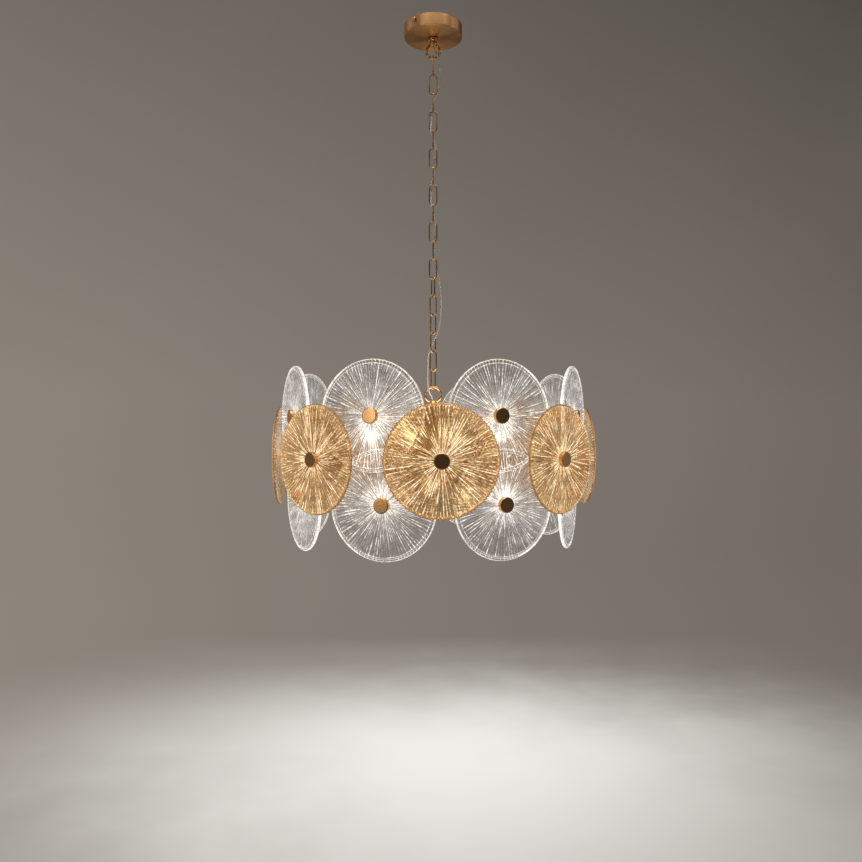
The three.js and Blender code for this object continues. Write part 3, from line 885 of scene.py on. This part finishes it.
@dataclass
class Workshop:
    """The finishes, and the ways in which pieces are made and put on the frame."""

    finishes: dict[str, bpy.types.Material] = field(default_factory=dict)
    wire: Growth = field(default_factory=bent_wire)
    ring: Growth = field(default_factory=ring_of_pieces)
    flutes: Growth = field(default_factory=pressed_flutes)

    def stock(self, *finishes: Finish) -> None:
        """Makes the materials."""
        for finish in finishes:
            self.finishes[finish.name] = finish.make()

    def fit(self, mesh: bpy.types.Mesh, name: str, body: str, nodes: Iterable[str] = (),
            slot: str = BRASS) -> None:
        """Puts a mesh on a body as a piece of the light.

        Args:
            mesh: the finished mesh, in place.
            name: the piece's name.
            body: the body that it rides on.
            nodes: the nodes that it stands for.
            slot: not used.
        """
        piece = placed(name, mesh)
        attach(piece, body)
        if nodes:
            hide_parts(*nodes)
        log.info("%s: %d faces on %s", name, len(mesh.polygons), body)

    def lathe(self, name: str, body: str, profile: Profile, soft: float, facets: int,
              nodes: Iterable[str] = (), closed: bool = True, steps: int = 3,
              finish: str = BRASS, sharp: float = CRISP) -> None:
        """Turns a piece with softened corners round the stem's axis.

        Args:
            name: the piece's name.
            body: the body that it rides on.
            profile: points of radius and height.
            soft: how far from a corner its curve starts, at most.
            facets: facets in a full turn.
            nodes: the nodes that it stands for.
            closed: whether the last point joins the first.
            steps: points on each curve, less one.
            finish: the name of its finish and of its slot.
            sharp: edges that bend by more than these degrees stay crisp.
        """
        shape = Shape().turned(softened(profile, soft, steps), facets, closed=closed)
        self.fit(shape.mesh(name, self.finishes[finish], sharp), name, body, nodes, finish)

    def bend(self, name: str, width: float, height: float, wire: float, finish: str = BRASS,
             steps: int = 16, sides: int = 20) -> bpy.types.Mesh:
        """Bends wire into a closed loop with round bows.

        Args:
            name: the mesh's name.
            width: the loop's width outside.
            height: its height outside.
            wire: the wire's diameter.
            finish: the name of its finish.
            steps: points on each quarter of a bow.
            sides: the wire's facets.

        Returns:
            The loop, round the origin.
        """
        bow = (min(width, height) - wire) * MM / 2
        return self.wire.grow(name, width=width * MM, height=height * MM, wire=wire * MM, bow=bow,
                              steps=steps, sides=sides, finish=self.finishes[finish])

    def repeat(self, shape: Shape, name: str, first: float, count: int = AROUND,
               finish: str = BRASS, sharp: float = CRISP, **fitting: Any) -> None:
        """Fits a shape and its copies round the stem as one piece.

        Args:
            shape: one of them, at azimuth 0.
            name: the piece's name.
            first: the first one's azimuth, in radians.
            count: how many there are.
            finish: the name of their finish.
            sharp: edges that bend by more than these degrees stay crisp.
            fitting: body, nodes and slot, if they aren't the drum, none and brass.
        """
        sample = placed(f"{name}_sample", shape.mesh(f"{name}_sample"))
        mesh = self.ring.grow(name, sharp, piece=sample, count=count, first=first,
                              finish=self.finishes[finish])
        bpy.data.objects.remove(sample)
        self.fit(mesh, name, **{"body": "drum", **fitting})


@dataclass
class CeilingFittings:
    """Canopy cup, its screws, the collar and the ring under it; the plate stays the frame's."""

    shop: Workshop
    radius: float = 50.0
    top: float = -2.0
    bottom: float = -22.0
    wall: float = 1.4
    screw_height: float = -8.5
    screw_azimuth: float = math.radians(-39)
    shank: float = 5.0
    hole: float = 5.35
    collar: tuple[float, float, float] = (9.0, -22.3, -28.8)
    ring_size: tuple[float, float] = (27.7, 4.4)
    ring_middle: float = -44.85
    neck: float = 6.5
    bore: float = 2.6

    def build(self) -> None:
        """Makes all the fittings."""
        self.canopy()
        self.screws()
        self.collar_nut()
        self.ring()
        for node, finish in (("mounting_plate", "zinc_plate"), ("terminal_block", "ivory_plastic")):
            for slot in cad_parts[node].material_slots:
                slot.material = self.shop.finishes[finish]

    def canopy(self) -> None:
        """The spun cup, with a soft bottom edge and a rolled rim at the ceiling."""
        wide, inner, floor = self.radius, self.radius - self.wall, self.bottom + self.wall
        self.shop.lathe("canopy_shell", "ceiling", [
            (self.hole, self.bottom + 0.3), (9.8, self.bottom), (wide - 0.2, self.bottom),
            (wide, self.top - 0.4), (wide - 0.7, self.top), (inner, self.top - 0.4),
            (inner, floor), (self.hole, floor),
        ], 1.6, 128, ["canopy_cup"], steps=5, finish="canopy_brass", sharp=50)

    def screws(self) -> None:
        """Two knurled screws in opposite sides of the cup."""
        face = self.radius + GAP
        head = softened([(0, face - 1.5), (1.7, face - 1.5), (1.7, face), (3.3, face),
                         (3.6, face + 0.4), (3.6, face + 1.6), (2.9, face + 2.2),
                         (0, face + 2.35)], 0.3, 2)
        shank = [(0, face - 7.7), (1.3, face - 7.7), (1.7, face - 7.2), (1.7, face - 1.4),
                 (0, face - 1.4)]
        screw = Shape().turned(head, 72, self.screw_height, (24, 0.22))
        screw.turned(shank, 16, self.screw_height)
        self.shop.repeat(screw, "canopy_screws", self.screw_azimuth, 2, body="ceiling",
                         nodes=["canopy_screw"])

    def collar_nut(self) -> None:
        """The round nut that holds the cup up."""
        wide, top, bottom = self.collar
        middle = (top + bottom) / 2
        self.shop.lathe("canopy_collar", "ceiling", [
            (self.hole, bottom), (wide - 0.9, bottom), (wide, bottom + 1.0), (wide, middle - 0.4),
            (wide - 0.35, middle), (wide, middle + 0.4), (wide, top - 0.8), (wide - 0.8, top),
            (self.hole, top),
        ], 0.4, 64, ["loop_collar"])

    def ring(self) -> None:
        """The ring that carries the chain, its neck and its hollow shank."""
        size, wire = self.ring_size
        mesh = self.shop.bend("canopy_ring", size, size, wire)
        mesh.transform(Matrix.Translation((0, 0, self.ring_middle * MM)))
        self.shop.fit(mesh, "canopy_ring", "ceiling", ["canopy_loop"])
        top = self.ring_middle + size / 2
        under = self.collar[2] - GAP
        self.shop.lathe("canopy_ring_neck", "ceiling", [
            (self.bore, top - wire), (self.neck - 1.6, top - wire), (self.neck, top - 1.6),
            (self.neck, under), (self.shank, under), (self.shank, -11.7), (self.bore, -11.7),
        ], 0.5, 40)


@dataclass
class Chain:
    """Brass links of bent wire, the lower ones in a slow twist."""

    shop: Workshop
    count: int = 18
    pitch: float = 31.7
    length: float = 36.6
    width: float = 15.0
    wire: float = 2.3
    first: float = -70.0
    straight: int = 11
    twist: float = math.radians(56)

    def turn(self, link: int) -> float:
        """The azimuth of a link's plane, in radians."""
        past = max(0, link - self.straight) / (self.count - self.straight)
        return link * math.pi / 2 + self.twist * math.sin(past * math.pi / 2)

    def middle(self, link: int) -> float:
        """The height of a link's middle."""
        return self.first - (link - 1) * self.pitch

    def build(self) -> None:
        """Makes every link."""
        sample = self.shop.bend("link", self.width, self.length, self.wire, "chain_brass", 12, 14)
        for link in range(1, self.count + 1):
            mesh = sample.copy()
            mesh.transform(Matrix.Translation((0, 0, self.middle(link) * MM))
                           @ Matrix.Rotation(self.turn(link), 4, "Z"))
            name = f"chain_link_{link:02d}"
            self.shop.fit(mesh, f"wire_{name}", f"link_{link:02d}", [name])


@dataclass
class Flex:
    """Clear flex with two twisted conductors, from the terminal block into the stem."""

    shop: Workshop
    chain: Chain
    radius: float = 1.3
    core: float = 0.52
    core_offset: float = 0.56
    lay: float = 16.0
    step: float = 1.3
    held: tuple[float, float] = (-54.3, -645.0)
    route: tuple[Point, ...] = (
        (0, 0, -6.5), (0, 0, -33), (2.4, -2.8, -42), (6.4, -5.8, -53), (9.6, -5.6, -66),
        (11.4, -3.4, -84), (10.6, 0.6, -101), (6.8, 3.8, -116), (0.2, 2.6, -133),
        (-3.7, 3.6, -149), (-3, 0, -165), (-3.7, -3.6, -181), (0, -3, -197),
        (3.7, -3.6, -212.5), (3, 0, -228.5), (3.7, 3.6, -244.5), (0, 3, -260),
        (-3.7, 3.6, -276), (-3, 0, -292), (-3.7, -3.6, -308), (0, -3, -323.5),
        (3.7, -3.6, -339.5), (3, 0, -355), (3.9, 3.9, -371), (4.2, 4.8, -402),
        (6.2, 5.6, -420), (10, 3.6, -438), (13, 0.4, -460), (13.8, -1.4, -484),
        (12.6, -2.4, -506), (9, -2.6, -524), (4.6, -1.6, -536), (0, 0, -546),
        (-4.6, -0.6, -556), (-7.8, -1.4, -568), (-8.8, -1.8, -588), (-9, -3, -606),
        (-8.2, -4.6, -623), (-5.6, -3.6, -633), (-1.6, -1, -641), (0, 0, -648),
        (0, 0, -690), (0, 0, -735),
    )

    def line(self) -> list[Vector]:
        """Draws the smooth way through the route.

        Returns:
            Points along it, about a step apart.
        """
        points = [Vector(point) for point in self.route]
        ends = [2 * points[0] - points[1], *points, 2 * points[-1] - points[-2]]
        path = []
        for p0, p1, p2, p3 in zip(ends, ends[1:], ends[2:], ends[3:]):
            d0, d1, d2 = (math.sqrt((b - a).length) for a, b in ((p0, p1), (p1, p2), (p2, p3)))
            t1 = ((p1 - p0) / d0 - (p2 - p0) / (d0 + d1) + (p2 - p1) / d1) * d1
            t2 = ((p2 - p1) / d1 - (p3 - p1) / (d1 + d2) + (p3 - p2) / d2) * d1
            bend = -(2 * t1 + t2 - 3 * (p2 - p1))
            steps = max(4, round((p2 - p1).length / self.step))
            for s in (step / steps for step in range(steps)):
                path.append(p1 + t1 * s + bend * s * s + (2 * (p1 - p2) + t1 + t2) * s ** 3)
        return [*path, points[-1]]

    def build(self) -> None:
        """Makes the flex in lengths, cut where the links have their middles, so that each spans one
        joint of the chain.
        """
        path = self.line()
        places = sections(path)
        links = range(1, self.chain.count + 1)
        middles = [self.chain.middle(link) for link in links]
        heights = [self.held[0], *middles, self.held[1]]
        cuts = [next(index for index, point in enumerate(path) if point.z < height)
                for height in middles]
        spans = zip([0, *cuts], [*cuts, len(path) - 1])
        for index, (start, end) in enumerate(spans):
            name = f"flex_{index + 1:02d}"
            high, low = heights[index:index + 2]
            mesh = self.stretch(places[start:end + 1], start)
            piece = placed(name, mesh)
            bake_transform(piece)
            if index == 0:
                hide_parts("flex")

    def stretch(self, places: Sequence[Section], first: int) -> bpy.types.Mesh:
        """One length of the flex.

        Args:
            places: the section frames along it.
            first: how many sections of the flex lie above it.

        Returns:
            The mesh of its sleeve and its conductors.
        """
        shape = Shape().tube([middle for middle, _, _ in places], self.radius, 12)
        faces = len(shape.body.faces)
        for half in (0.0, math.pi):
            core = []
            for index, (middle, side, up) in enumerate(places, first):
                angle = half + FULL_TURN * index * self.step / self.lay
                offset = side * math.cos(angle) + up * math.sin(angle)
                core.append(middle + offset * self.core_offset)
            shape.tube(core, self.core, 6)
        shape.body.faces.ensure_lookup_table()
        for face in shape.body.faces[faces:]:
            face.material_index = 1
        mesh = shape.mesh("flex", self.shop.finishes["clear_sleeve"])
        mesh.materials.append(self.shop.finishes["conductor"])
        return mesh


@dataclass
class GlassTier:
    """One tier of pressed glass discs."""

    shop: Workshop
    name: str
    finish: str
    rim: Rim
    radius: float
    height: float
    first: float
    # lamps: the painted lamp glow's share on even and odd discs, its height and its way aside, in
    # millimetres
    lamps: tuple[float, float, float, float]
    disc: float = 165.0
    thickness: float = 5.2
    depth: float = 0.5
    scallop: float = 1.3
    # the painted lamp glow's spread, in millimetres
    lamp_spread: float = 23.0
    hole: float = 3.3

    def blank(self) -> bpy.types.Object:
        """Turns the disc before its flutes are pressed.

        Returns:
            The plain disc, facing the front.
        """
        half, edge = self.thickness / 2, self.disc / 2
        reach = [0.09, 0.14, 0.18, 0.24, 0.32, 0.42, 0.52, 0.62, 0.72, 0.81, 0.88]
        beads = {
            Rim.BEADED: [
                (0.915, 1.0), (0.93, 0.95), (0.94, 0.7), (0.95, 0.7), (0.96, 0.95), (0.972, 1.05),
                (0.986, 0.95), (0.996, 0.6), (1.0, 0.0), (0.996, -0.6), (0.986, -0.92),
                (0.96, -1.0)],
            Rim.SCALLOPED: [
                (0.915, 1.0), (0.94, 1.0), (0.958, 0.92), (0.972, 0.75), (0.985, 0.52),
                (0.995, 0.25), (1.0, 0.0), (0.995, -0.35), (0.98, -0.7), (0.96, -0.92)],
        }
        shares = [*((share, 1.0) for share in reach), *beads[self.rim],
                  *((share, -1.0) for share in (*reach[-2::-2], 0.05))]
        profile = [(self.hole, half), *((edge * share, half * level) for share, level in shares),
                   (self.hole, -half)]
        steps = 640
        name = f"{self.name}_blank"
        return placed(name, Shape().turned(profile, steps, 0.0, closed=True).mesh(name))

    def build(self) -> None:
        """Presses and hangs every disc of the tier."""
        blank = self.blank()
        scalloped = self.rim is Rim.SCALLOPED
        inner, outer = (0.97, 1.06) if scalloped else (0.9, 0.925)
        chance = random.Random(self.name)
        even, odd, height, aside = self.lamps
        sizes = {
            "radius": self.disc / 2, "thickness": self.thickness, "depth": self.depth,
            "scallop": self.scallop if scalloped else 0.0,
            "lamp_height": height, "lamp_aside": aside, "lamp_spread": self.lamp_spread,
        }
        for index in range(AROUND):
            name = f"{self.name}_{index + 1:02d}"
            mesh = self.shop.flutes.grow(
                f"pressed_{name}", piece=blank, flutes=FLUTES,
                inner=inner, outer=outer, seed=chance.uniform(1, 40),
                spin=chance.uniform(0, FULL_TURN), lamp_share=odd if index % 2 else even,
                lamp_twin=1.0 if scalloped else 0.0, finish=self.shop.finishes[self.finish],
                **{key: size * MM for key, size in sizes.items()})
            azimuth = self.first + STEP * index
            mesh.transform(Matrix.Rotation(azimuth, 4, "Z")
                           @ Matrix.Translation((0, -self.radius * MM, self.height * MM)))
            self.shop.fit(mesh, f"pressed_{name}", "drum", [name], self.finish)
        bpy.data.objects.remove(blank)


@dataclass
class Lamps:
    """Lamp holders on the clear arms, with their capsule bulbs, in turn down and up."""

    shop: Workshop
    first: float
    radius: float = 116.0
    height: float = -754.3
    sleeve: float = 11.0
    tall: float = 24.0
    bulb: float = 9.0
    bulb_length: float = 40.0

    def build(self) -> None:
        """Makes the lamps that point up and those that point down."""
        for word, turn, number in (("up", 0.0, 2), ("down", math.pi, 1)):
            first = self.first + (number - 1) * STEP
            bulbs = [f"bulb_{bulb:02d}" for bulb in range(number, AROUND + 1, 2)]
            place = (Matrix.Translation((0, -self.radius, self.height))
                     @ Matrix.Rotation(turn, 4, "X"))
            for part, name, finish, fitting in (
                (self.holder(), "lamp_holders", BRASS, {}),
                (self.socket(), "lamp_sockets", "glazed_ceramic", {}),
                (self.glass(), "capsule_bulbs", "lit_lamp_glass",
                 {"nodes": bulbs, "slot": "bulb_glass"}),
            ):
                self.shop.repeat(part.moved(place), f"{name}_{word}", first, AROUND // 2, finish,
                                 **fitting)

    def holder(self) -> Shape:
        """A spun brass sleeve with a stepped foot and a rolled lip."""
        wide, tall = self.sleeve, self.tall
        return Shape().turned(softened([
            (0, -3.6), (4.4, -3.6), (5.0, -2.4), (5.0, 0.5), (9.6, 1.2), (wide, 3.2), (wide, 8.4),
            (wide - 0.5, 9.0), (wide, 9.6), (wide, tall - 1.4), (wide + 0.5, tall - 0.7),
            (wide, tall), (wide - 1.2, tall - 0.2), (wide - 1.2, tall - 8.0), (0, tall - 8.0),
        ], 0.5), 40)

    def socket(self) -> Shape:
        """The ceramic insert in the sleeve's mouth."""
        tall = self.tall
        return Shape().turned(softened([
            (7.3, tall - 8.0), (9.6, tall - 8.0), (9.6, tall - 0.6), (9.0, tall + 0.1),
            (7.8, tall + 0.1), (7.3, tall - 0.4),
        ], 0.3, 2), 32, closed=True)

    def glass(self) -> Shape:
        """The capsule with its pressed foot."""
        foot, bulb, crown = self.tall, self.bulb, self.tall + self.bulb_length
        angles = [step * math.pi / 18 for step in range(9)]
        return Shape().turned([
            (0, foot - 8.2), (6.4, foot - 8.2), (6.8, foot - 7.4), (6.8, foot + 0.4),
            (7.4, foot + 2.2), (bulb - 0.2, foot + 5.0), (bulb, foot + 8.0),
            *((bulb * math.cos(angle), crown - bulb + bulb * math.sin(angle)) for angle in angles),
            (0, crown + 0.3),
        ], 32)


@dataclass
class BrassFrame:
    """Ring on top, stem, hub, arms, bent uprights, and the fixings of every disc."""

    shop: Workshop
    middle: float = -740.3
    azimuth: float = math.radians(2.6)
    rod: float = 3.0
    root: float = 14.0
    root_collar: tuple[float, float] = (20.5, 26.5)
    end_collar: tuple[float, float] = (8.0, 2.2)
    stud: float = 1.0
    hub: float = 22.0
    hub_above: float = 8.0
    hub_below: float = 26.0
    clear_drop: float = 14.0
    upright: float = 178.0
    lean: float = math.radians(1.6)
    amber: tuple[float, float] = (261.0, 0.0)
    upper: tuple[float, float] = (241.5, 64.5)
    lower: tuple[float, float] = (231.0, -65.7)
    glass: float = 5.2
    cap: tuple[float, float] = (11.8, 7.6)
    ring_size: tuple[float, float, float] = (31.5, 29.0, 4.0)
    ring_top: float = -620.6
    stem_top: float = -652.4
    bore: float = 2.6

    def tiers(self) -> dict[str, tuple[float, float, float]]:
        """Each tier's distance from the axis, height of its middle and first azimuth."""
        half = STEP / 2
        return {word: (radius, self.middle + rise, self.azimuth + turn)
                for word, (radius, rise), turn in (("amber", self.amber, 0.0),
                                                   ("upper", self.upper, half - self.lean),
                                                   ("lower", self.lower, half + self.lean))}

    def build(self) -> None:
        """Makes the whole frame."""
        self.top_ring()
        self.stem()
        self.hub_block()
        self.arms()
        for word, (radius, height, first) in self.tiers().items():
            self.fixings(word, radius, height, first)

    def top_ring(self) -> None:
        """The oval ring that hangs from the last link, and its neck."""
        width, height, wire = self.ring_size
        base = self.ring_top - height
        mesh = self.shop.bend("drum_ring", width, height, wire)
        mesh.transform(Matrix.Translation((0, 0, (self.ring_top - height / 2) * MM)))
        self.shop.fit(mesh, "drum_ring", "drum", ["drum_loop"])
        self.shop.lathe("drum_ring_neck", "drum", [
            (self.bore, base + 4.0), (4.2, base + 4.0), (6.2, base + 1.4), (8.0, base - 1.6),
            (8.0, base - 11.6), (7.2, base - 14.0), (6.3, base - 14.0), (6.3, base - 2.5),
            (self.bore, base - 2.5),
        ], 0.7, 48)

    def stem(self) -> None:
        """The tube through the hub, with its foot nut and ball."""
        top, foot = self.stem_top, self.middle - self.hub_below - GAP
        self.shop.lathe("drum_stem_tube", "drum", [
            (0, foot - 21.2), (3.4, foot - 20.6), (6.1, foot - 17.6), (7.0, foot - 14.0),
            (6.1, foot - 10.6), (4.6, foot - 9.2), (7.4, foot - 8.4), (12.2, foot - 8.0),
            (13.0, foot - 7.2), (13.0, foot - 5.0), (12.4, foot - 4.2), (13.0, foot - 3.4),
            (13.0, foot - 0.8), (12.2, foot), (6.0, foot), (6.0, top), (3.6, top), (3.6, foot),
            (0, foot),
        ], 0.5, 56, ["drum_stem"], closed=False)

    def hub_block(self) -> None:
        """The turned hub, with a groove round it and a step on top."""
        wide, middle = self.hub, self.middle
        top, bottom = middle + self.hub_above, middle - self.hub_below
        self.shop.lathe("drum_hub", "drum", [
            (6.3, bottom), (wide - 3, bottom), (wide, bottom + 3), (wide, middle - 6.2),
            (wide - 0.7, middle - 7), (wide, middle - 7.8), (wide, middle + 5), (wide - 3, top),
            (12, top), (11, top + 2.4), (8.5, top + 3.2), (6.3, top + 3.2),
        ], 0.9, 72, ["drum_frame"])

    def arm(self, reach: float, height: float) -> Shape:
        """A straight rod out of the hub, with a small collar where it leaves it."""
        ends = [Vector((0, -self.root, height)), Vector((0, -reach, height))]
        return self.collar(Shape().tube(ends, self.rod), *self.root_collar, height)

    @staticmethod
    def collar(rod: Shape, back: float, front: float, height: float) -> Shape:
        """Adds a small turned collar to a rod that points to the front."""
        line = [(0, back), (5.2, back), (5.2, front - 1), (4.4, front), (0, front)]
        return rod.turned(softened(line, 0.6), 24, height)

    def arms(self) -> None:
        """Straight arms to the amber discs, and lower ones whose uprights carry clear discs."""
        ends = self.glass / 2 + self.stud
        amber = self.arm(self.amber[0] + ends, self.middle)
        self.shop.repeat(amber, "amber_arms", self.azimuth)
        height = self.middle - self.clear_drop
        clear = self.arm(self.upright, height)
        back, front = (self.upright - inset for inset in self.end_collar)
        self.collar(clear, back, front, height)
        corners = []
        for reach, (_, rise), lean in ((self.lower[0] + ends, self.lower, self.lean),
                                       (self.upright, self.lower, self.lean),
                                       (self.upright, self.upper, -self.lean),
                                       (self.upper[0] + ends, self.upper, -self.lean)):
            corners.append((reach * math.sin(lean), -reach * math.cos(lean), self.middle + rise))
        clear.tube(softened(corners, 7.0, 8), self.rod)
        self.shop.repeat(clear, "clear_arms", self.azimuth + STEP / 2)

    def fixings(self, word: str, radius: float, height: float, first: float) -> None:
        """The washers, nuts and caps of one tier.

        Args:
            word: the tier's name.
            radius: the discs' distance from the axis.
            height: the height of their middles.
            first: the azimuth of the first.
        """
        wide, tall = self.cap
        half = self.glass / 2 + GAP
        front, back, end = radius + half, radius - half, radius + half + tall
        cap = softened([
            (0, front), (wide - 0.4, front), (wide, front + 0.4), (wide, end - 0.9),
            (wide - 0.9, end), (wide - 2.4, end + 0.02), (0, end + 0.05),
        ], 0.35, 4)
        self.shop.repeat(Shape().turned(cap, 64, height), f"{word}_caps", first,
                         finish="satin_brass")
        seat, wide, edge = back - 1.0, 6.6, 0.12 * 3.2
        washer = softened([(0, seat), (7.8, seat), (8.0, back - 0.6), (8.0, back), (0, back)],
                          0.2, 2)
        nut = [(0, back - 4.2), (wide - edge, back - 4.2), (wide, back - 4.2 + edge),
               (wide, seat - edge), (wide - edge, seat), (0, seat)]
        nuts = Shape().turned(washer, 32, height).turned(nut, 6, height)
        self.shop.repeat(nuts, f"{word}_nuts", first, sharp=20)


@dataclass
class Softbox:
    """One soft lamp of the studio."""

    name: str
    place: Point
    target: Point
    size: tuple[float, float]
    watts: float
    colour: Colour = (1.0, 1.0, 1.0)
    shown: bool = True

    def build(self) -> None:
        """Makes the lamp."""
        data = bpy.data.lights.new(self.name, "AREA")
        data.shape = "RECTANGLE"
        data.size, data.size_y = self.size
        data.energy = self.watts
        data.color = self.colour
        lamp = placed(self.name, data)
        lamp.location = self.place
        toward = Vector(self.target) - Vector(self.place)
        lamp.rotation_euler = toward.to_track_quat("-Z", "Y").to_euler()
        lamp.visible_camera = lamp.visible_transmission = self.shown


@dataclass
class Studio:
    """Floor, wall, lamps and camera, in metres."""

    shop: Workshop
    floor: float = -2.0
    wall: float = 3.7
    wall_top: float = 5.0
    bend: float = 0.55
    half_width: float = 7.0
    near: float = -5.0
    lens: float = 34.14
    eye: Point = (0.0, -1.407, -0.6979)
    yaw: float = 0.0026
    sensor: float = 36.0

    def build(self) -> None:
        """Makes the studio."""
        self.camera()
        self.backdrop()
        self.world()
        middle = (0.0, 0.0, -0.74)
        for box in (
            Softbox("left_window", (-1.7, -2.0, -0.5), middle, (0.6, 0.8), 3.6, (1.0, 0.95, 0.88)),
            Softbox("right_window", (2.4, -0.5, -0.6), middle, (0.5, 1.4), 2.2, (1.0, 0.97, 0.93)),
            Softbox("overhead", (0.1, -0.4, 1.3), middle, (1.8, 1.2), 20.0),
            Softbox("lit_bulbs", (0.0, 0.0, -0.715), (0.0, 0.0, 0.0), (0.3, 0.3), 1.0,
                    (1.0, 0.9, 0.76), False),
        ):
            box.build()

    def camera(self) -> None:
        """The camera at the photograph's place."""
        data = bpy.data.cameras.new("camera")
        data.lens = self.lens
        data.sensor_width = self.sensor
        camera = placed("camera", data)
        camera.location = self.eye
        camera.rotation_euler = (math.pi / 2, 0.0, self.yaw)
        bpy.context.scene.camera = camera

    def backdrop(self) -> None:
        """Floor and wall in one sheet with a soft bend between them."""
        angles = [step * math.pi / 24 for step in range(13)]
        line = [(self.near, self.floor),
                *((self.wall - self.bend + self.bend * math.sin(angle),
                   self.floor + self.bend - self.bend * math.cos(angle)) for angle in angles),
                (self.wall, self.wall_top)]
        body = bmesh.new()
        rows = [[body.verts.new((side * self.half_width, y, z)) for side in (-1, 1)]
                for y, z in line]
        for low, high in zip(rows, rows[1:]):
            body.faces.new([low[0], low[1], high[1], high[0]])
        mesh = bpy.data.meshes.new("backdrop")
        body.to_mesh(mesh)
        body.free()
        mesh.shade_smooth()
        mesh.materials.append(self.shop.finishes["studio_surround"])
        placed("backdrop", mesh)

    def world(self) -> None:
        """Soft light from all round, darkest behind the camera."""
        world = bpy.data.worlds.new("world")
        world.use_nodes = True
        world.node_tree.nodes.clear()
        wiring = Wiring(world.node_tree)
        _, ahead, up = wiring.place("Generated").split()
        level = ahead.ramp(-0.5, 0.8) * 0.3 + up.ramp(0.12, 0.5) * 0.45 + 0.03
        sky = wiring.node("ShaderNodeBackground", {}, {
            "Color": (1.0, 0.97, 0.93), "Strength": level})
        wiring.node("ShaderNodeOutputWorld", {}, {"Surface": sky})
        bpy.context.scene.world = world
        bpy.context.scene.view_settings.view_transform = "Standard"


def main() -> None:
    """Builds every sub-assembly on the frame."""
    logging.basicConfig(level=logging.INFO, format="%(message)s")
    shop = Workshop()
    shop.stock(
        Metal(BRASS, (0.66, 0.39, 0.16), (0.26, 0.13, 0.045), 0.17),
        Metal("satin_brass", (0.74, 0.42, 0.18), (0.55, 0.28, 0.10), 0.24, 0.25, 0.000012),
        # the canopy is painted darker under -21.2 mm, a painted shade on its underside, and over
        # -3.6 mm, a painted shadow gap at the ceiling
        Metal("canopy_brass", (0.70, 0.38, 0.165), (0.32, 0.15, 0.042), 0.38, 0.35, 0.00002,
              0.92, -0.0212, -0.0036),
        Metal("chain_brass", (0.54, 0.29, 0.11), (0.10, 0.04, 0.015), 0.14, 0.7),
        Metal("zinc_plate", (0.62, 0.63, 0.64), (0.42, 0.43, 0.44), 0.4),
        Metal("conductor", (0.82, 0.74, 0.64), (0.62, 0.53, 0.43), 0.35),
        Moulded("ivory_plastic", (0.72, 0.69, 0.62), 0.5),
        Moulded("glazed_ceramic", (0.8, 0.78, 0.74), 0.3),
        ClearSleeve("clear_sleeve", (0.93, 0.90, 0.85)),
        LampGlass("lit_lamp_glass", (1.0, 0.9, 0.74), 1.4, -0.7543, 0.046, 0.014),
        # pressed glass: body tint, painted shade in the grooves, edge tint, stops of the painted
        # glow, painted haze, frost, the strength of the painted glints on the lines, by the lamps
        # and on the rim, where the edge tint starts, and the rim's kind
        PressedGlass("amber_glass", (0.82, 0.59, 0.34), (0.09, 0.03, 0.008), (0.34, 0.11, 0.04),
                     ((0.0, (0.0, 0.0, 0.0)), (0.32, (0.14, 0.075, 0.02)),
                      (0.6, (0.66, 0.42, 0.15)), (1.0, (0.98, 0.90, 0.73))),
                     0.08, 0.11, 1.42, 0.42, 0.5, 0.984, Rim.SCALLOPED),
        PressedGlass("clear_glass", (0.97, 0.965, 0.96), (0.5, 0.48, 0.46), (0.95, 0.94, 0.92),
                     ((0.0, (0.0, 0.0, 0.0)), (0.4, (0.30, 0.285, 0.27)),
                      (1.0, (1.0, 0.97, 0.93))),
                     0.12, 0.0, 1.1, 1.1, 0.75, 0.99, Rim.BEADED),
        Surroundings("studio_surround", (0.21, 0.183, 0.158), (0.93, 0.91, 0.87),
                     (0.03, 1.93), 1.42, 0.92, 1.45),
    )
    Studio(shop).build()
    CeilingFittings(shop).build()
    chain = Chain(shop)
    chain.build()
    Flex(shop, chain).build()
    brass = BrassFrame(shop)
    brass.build()
    Lamps(shop, brass.azimuth + STEP / 2).build()
    # the last four numbers place each tier's painted lamp glow: share on even and odd discs, height
    # and way aside in millimetres
    for word, finish, rim, lamps in (
        ("amber", "amber_glass", Rim.SCALLOPED, (0.95, 0.2, 30.0, 17.0)),
        ("upper", "clear_glass", Rim.BEADED, (0.3, 0.8, -32.0, 0.0)),
        ("lower", "clear_glass", Rim.BEADED, (0.72, 0.4, 12.0, 0.0)),
    ):
        GlassTier(shop, f"{word}_disc", finish, rim, *brass.tiers()[word], lamps).build()


if __name__ == "__main__":
    main()
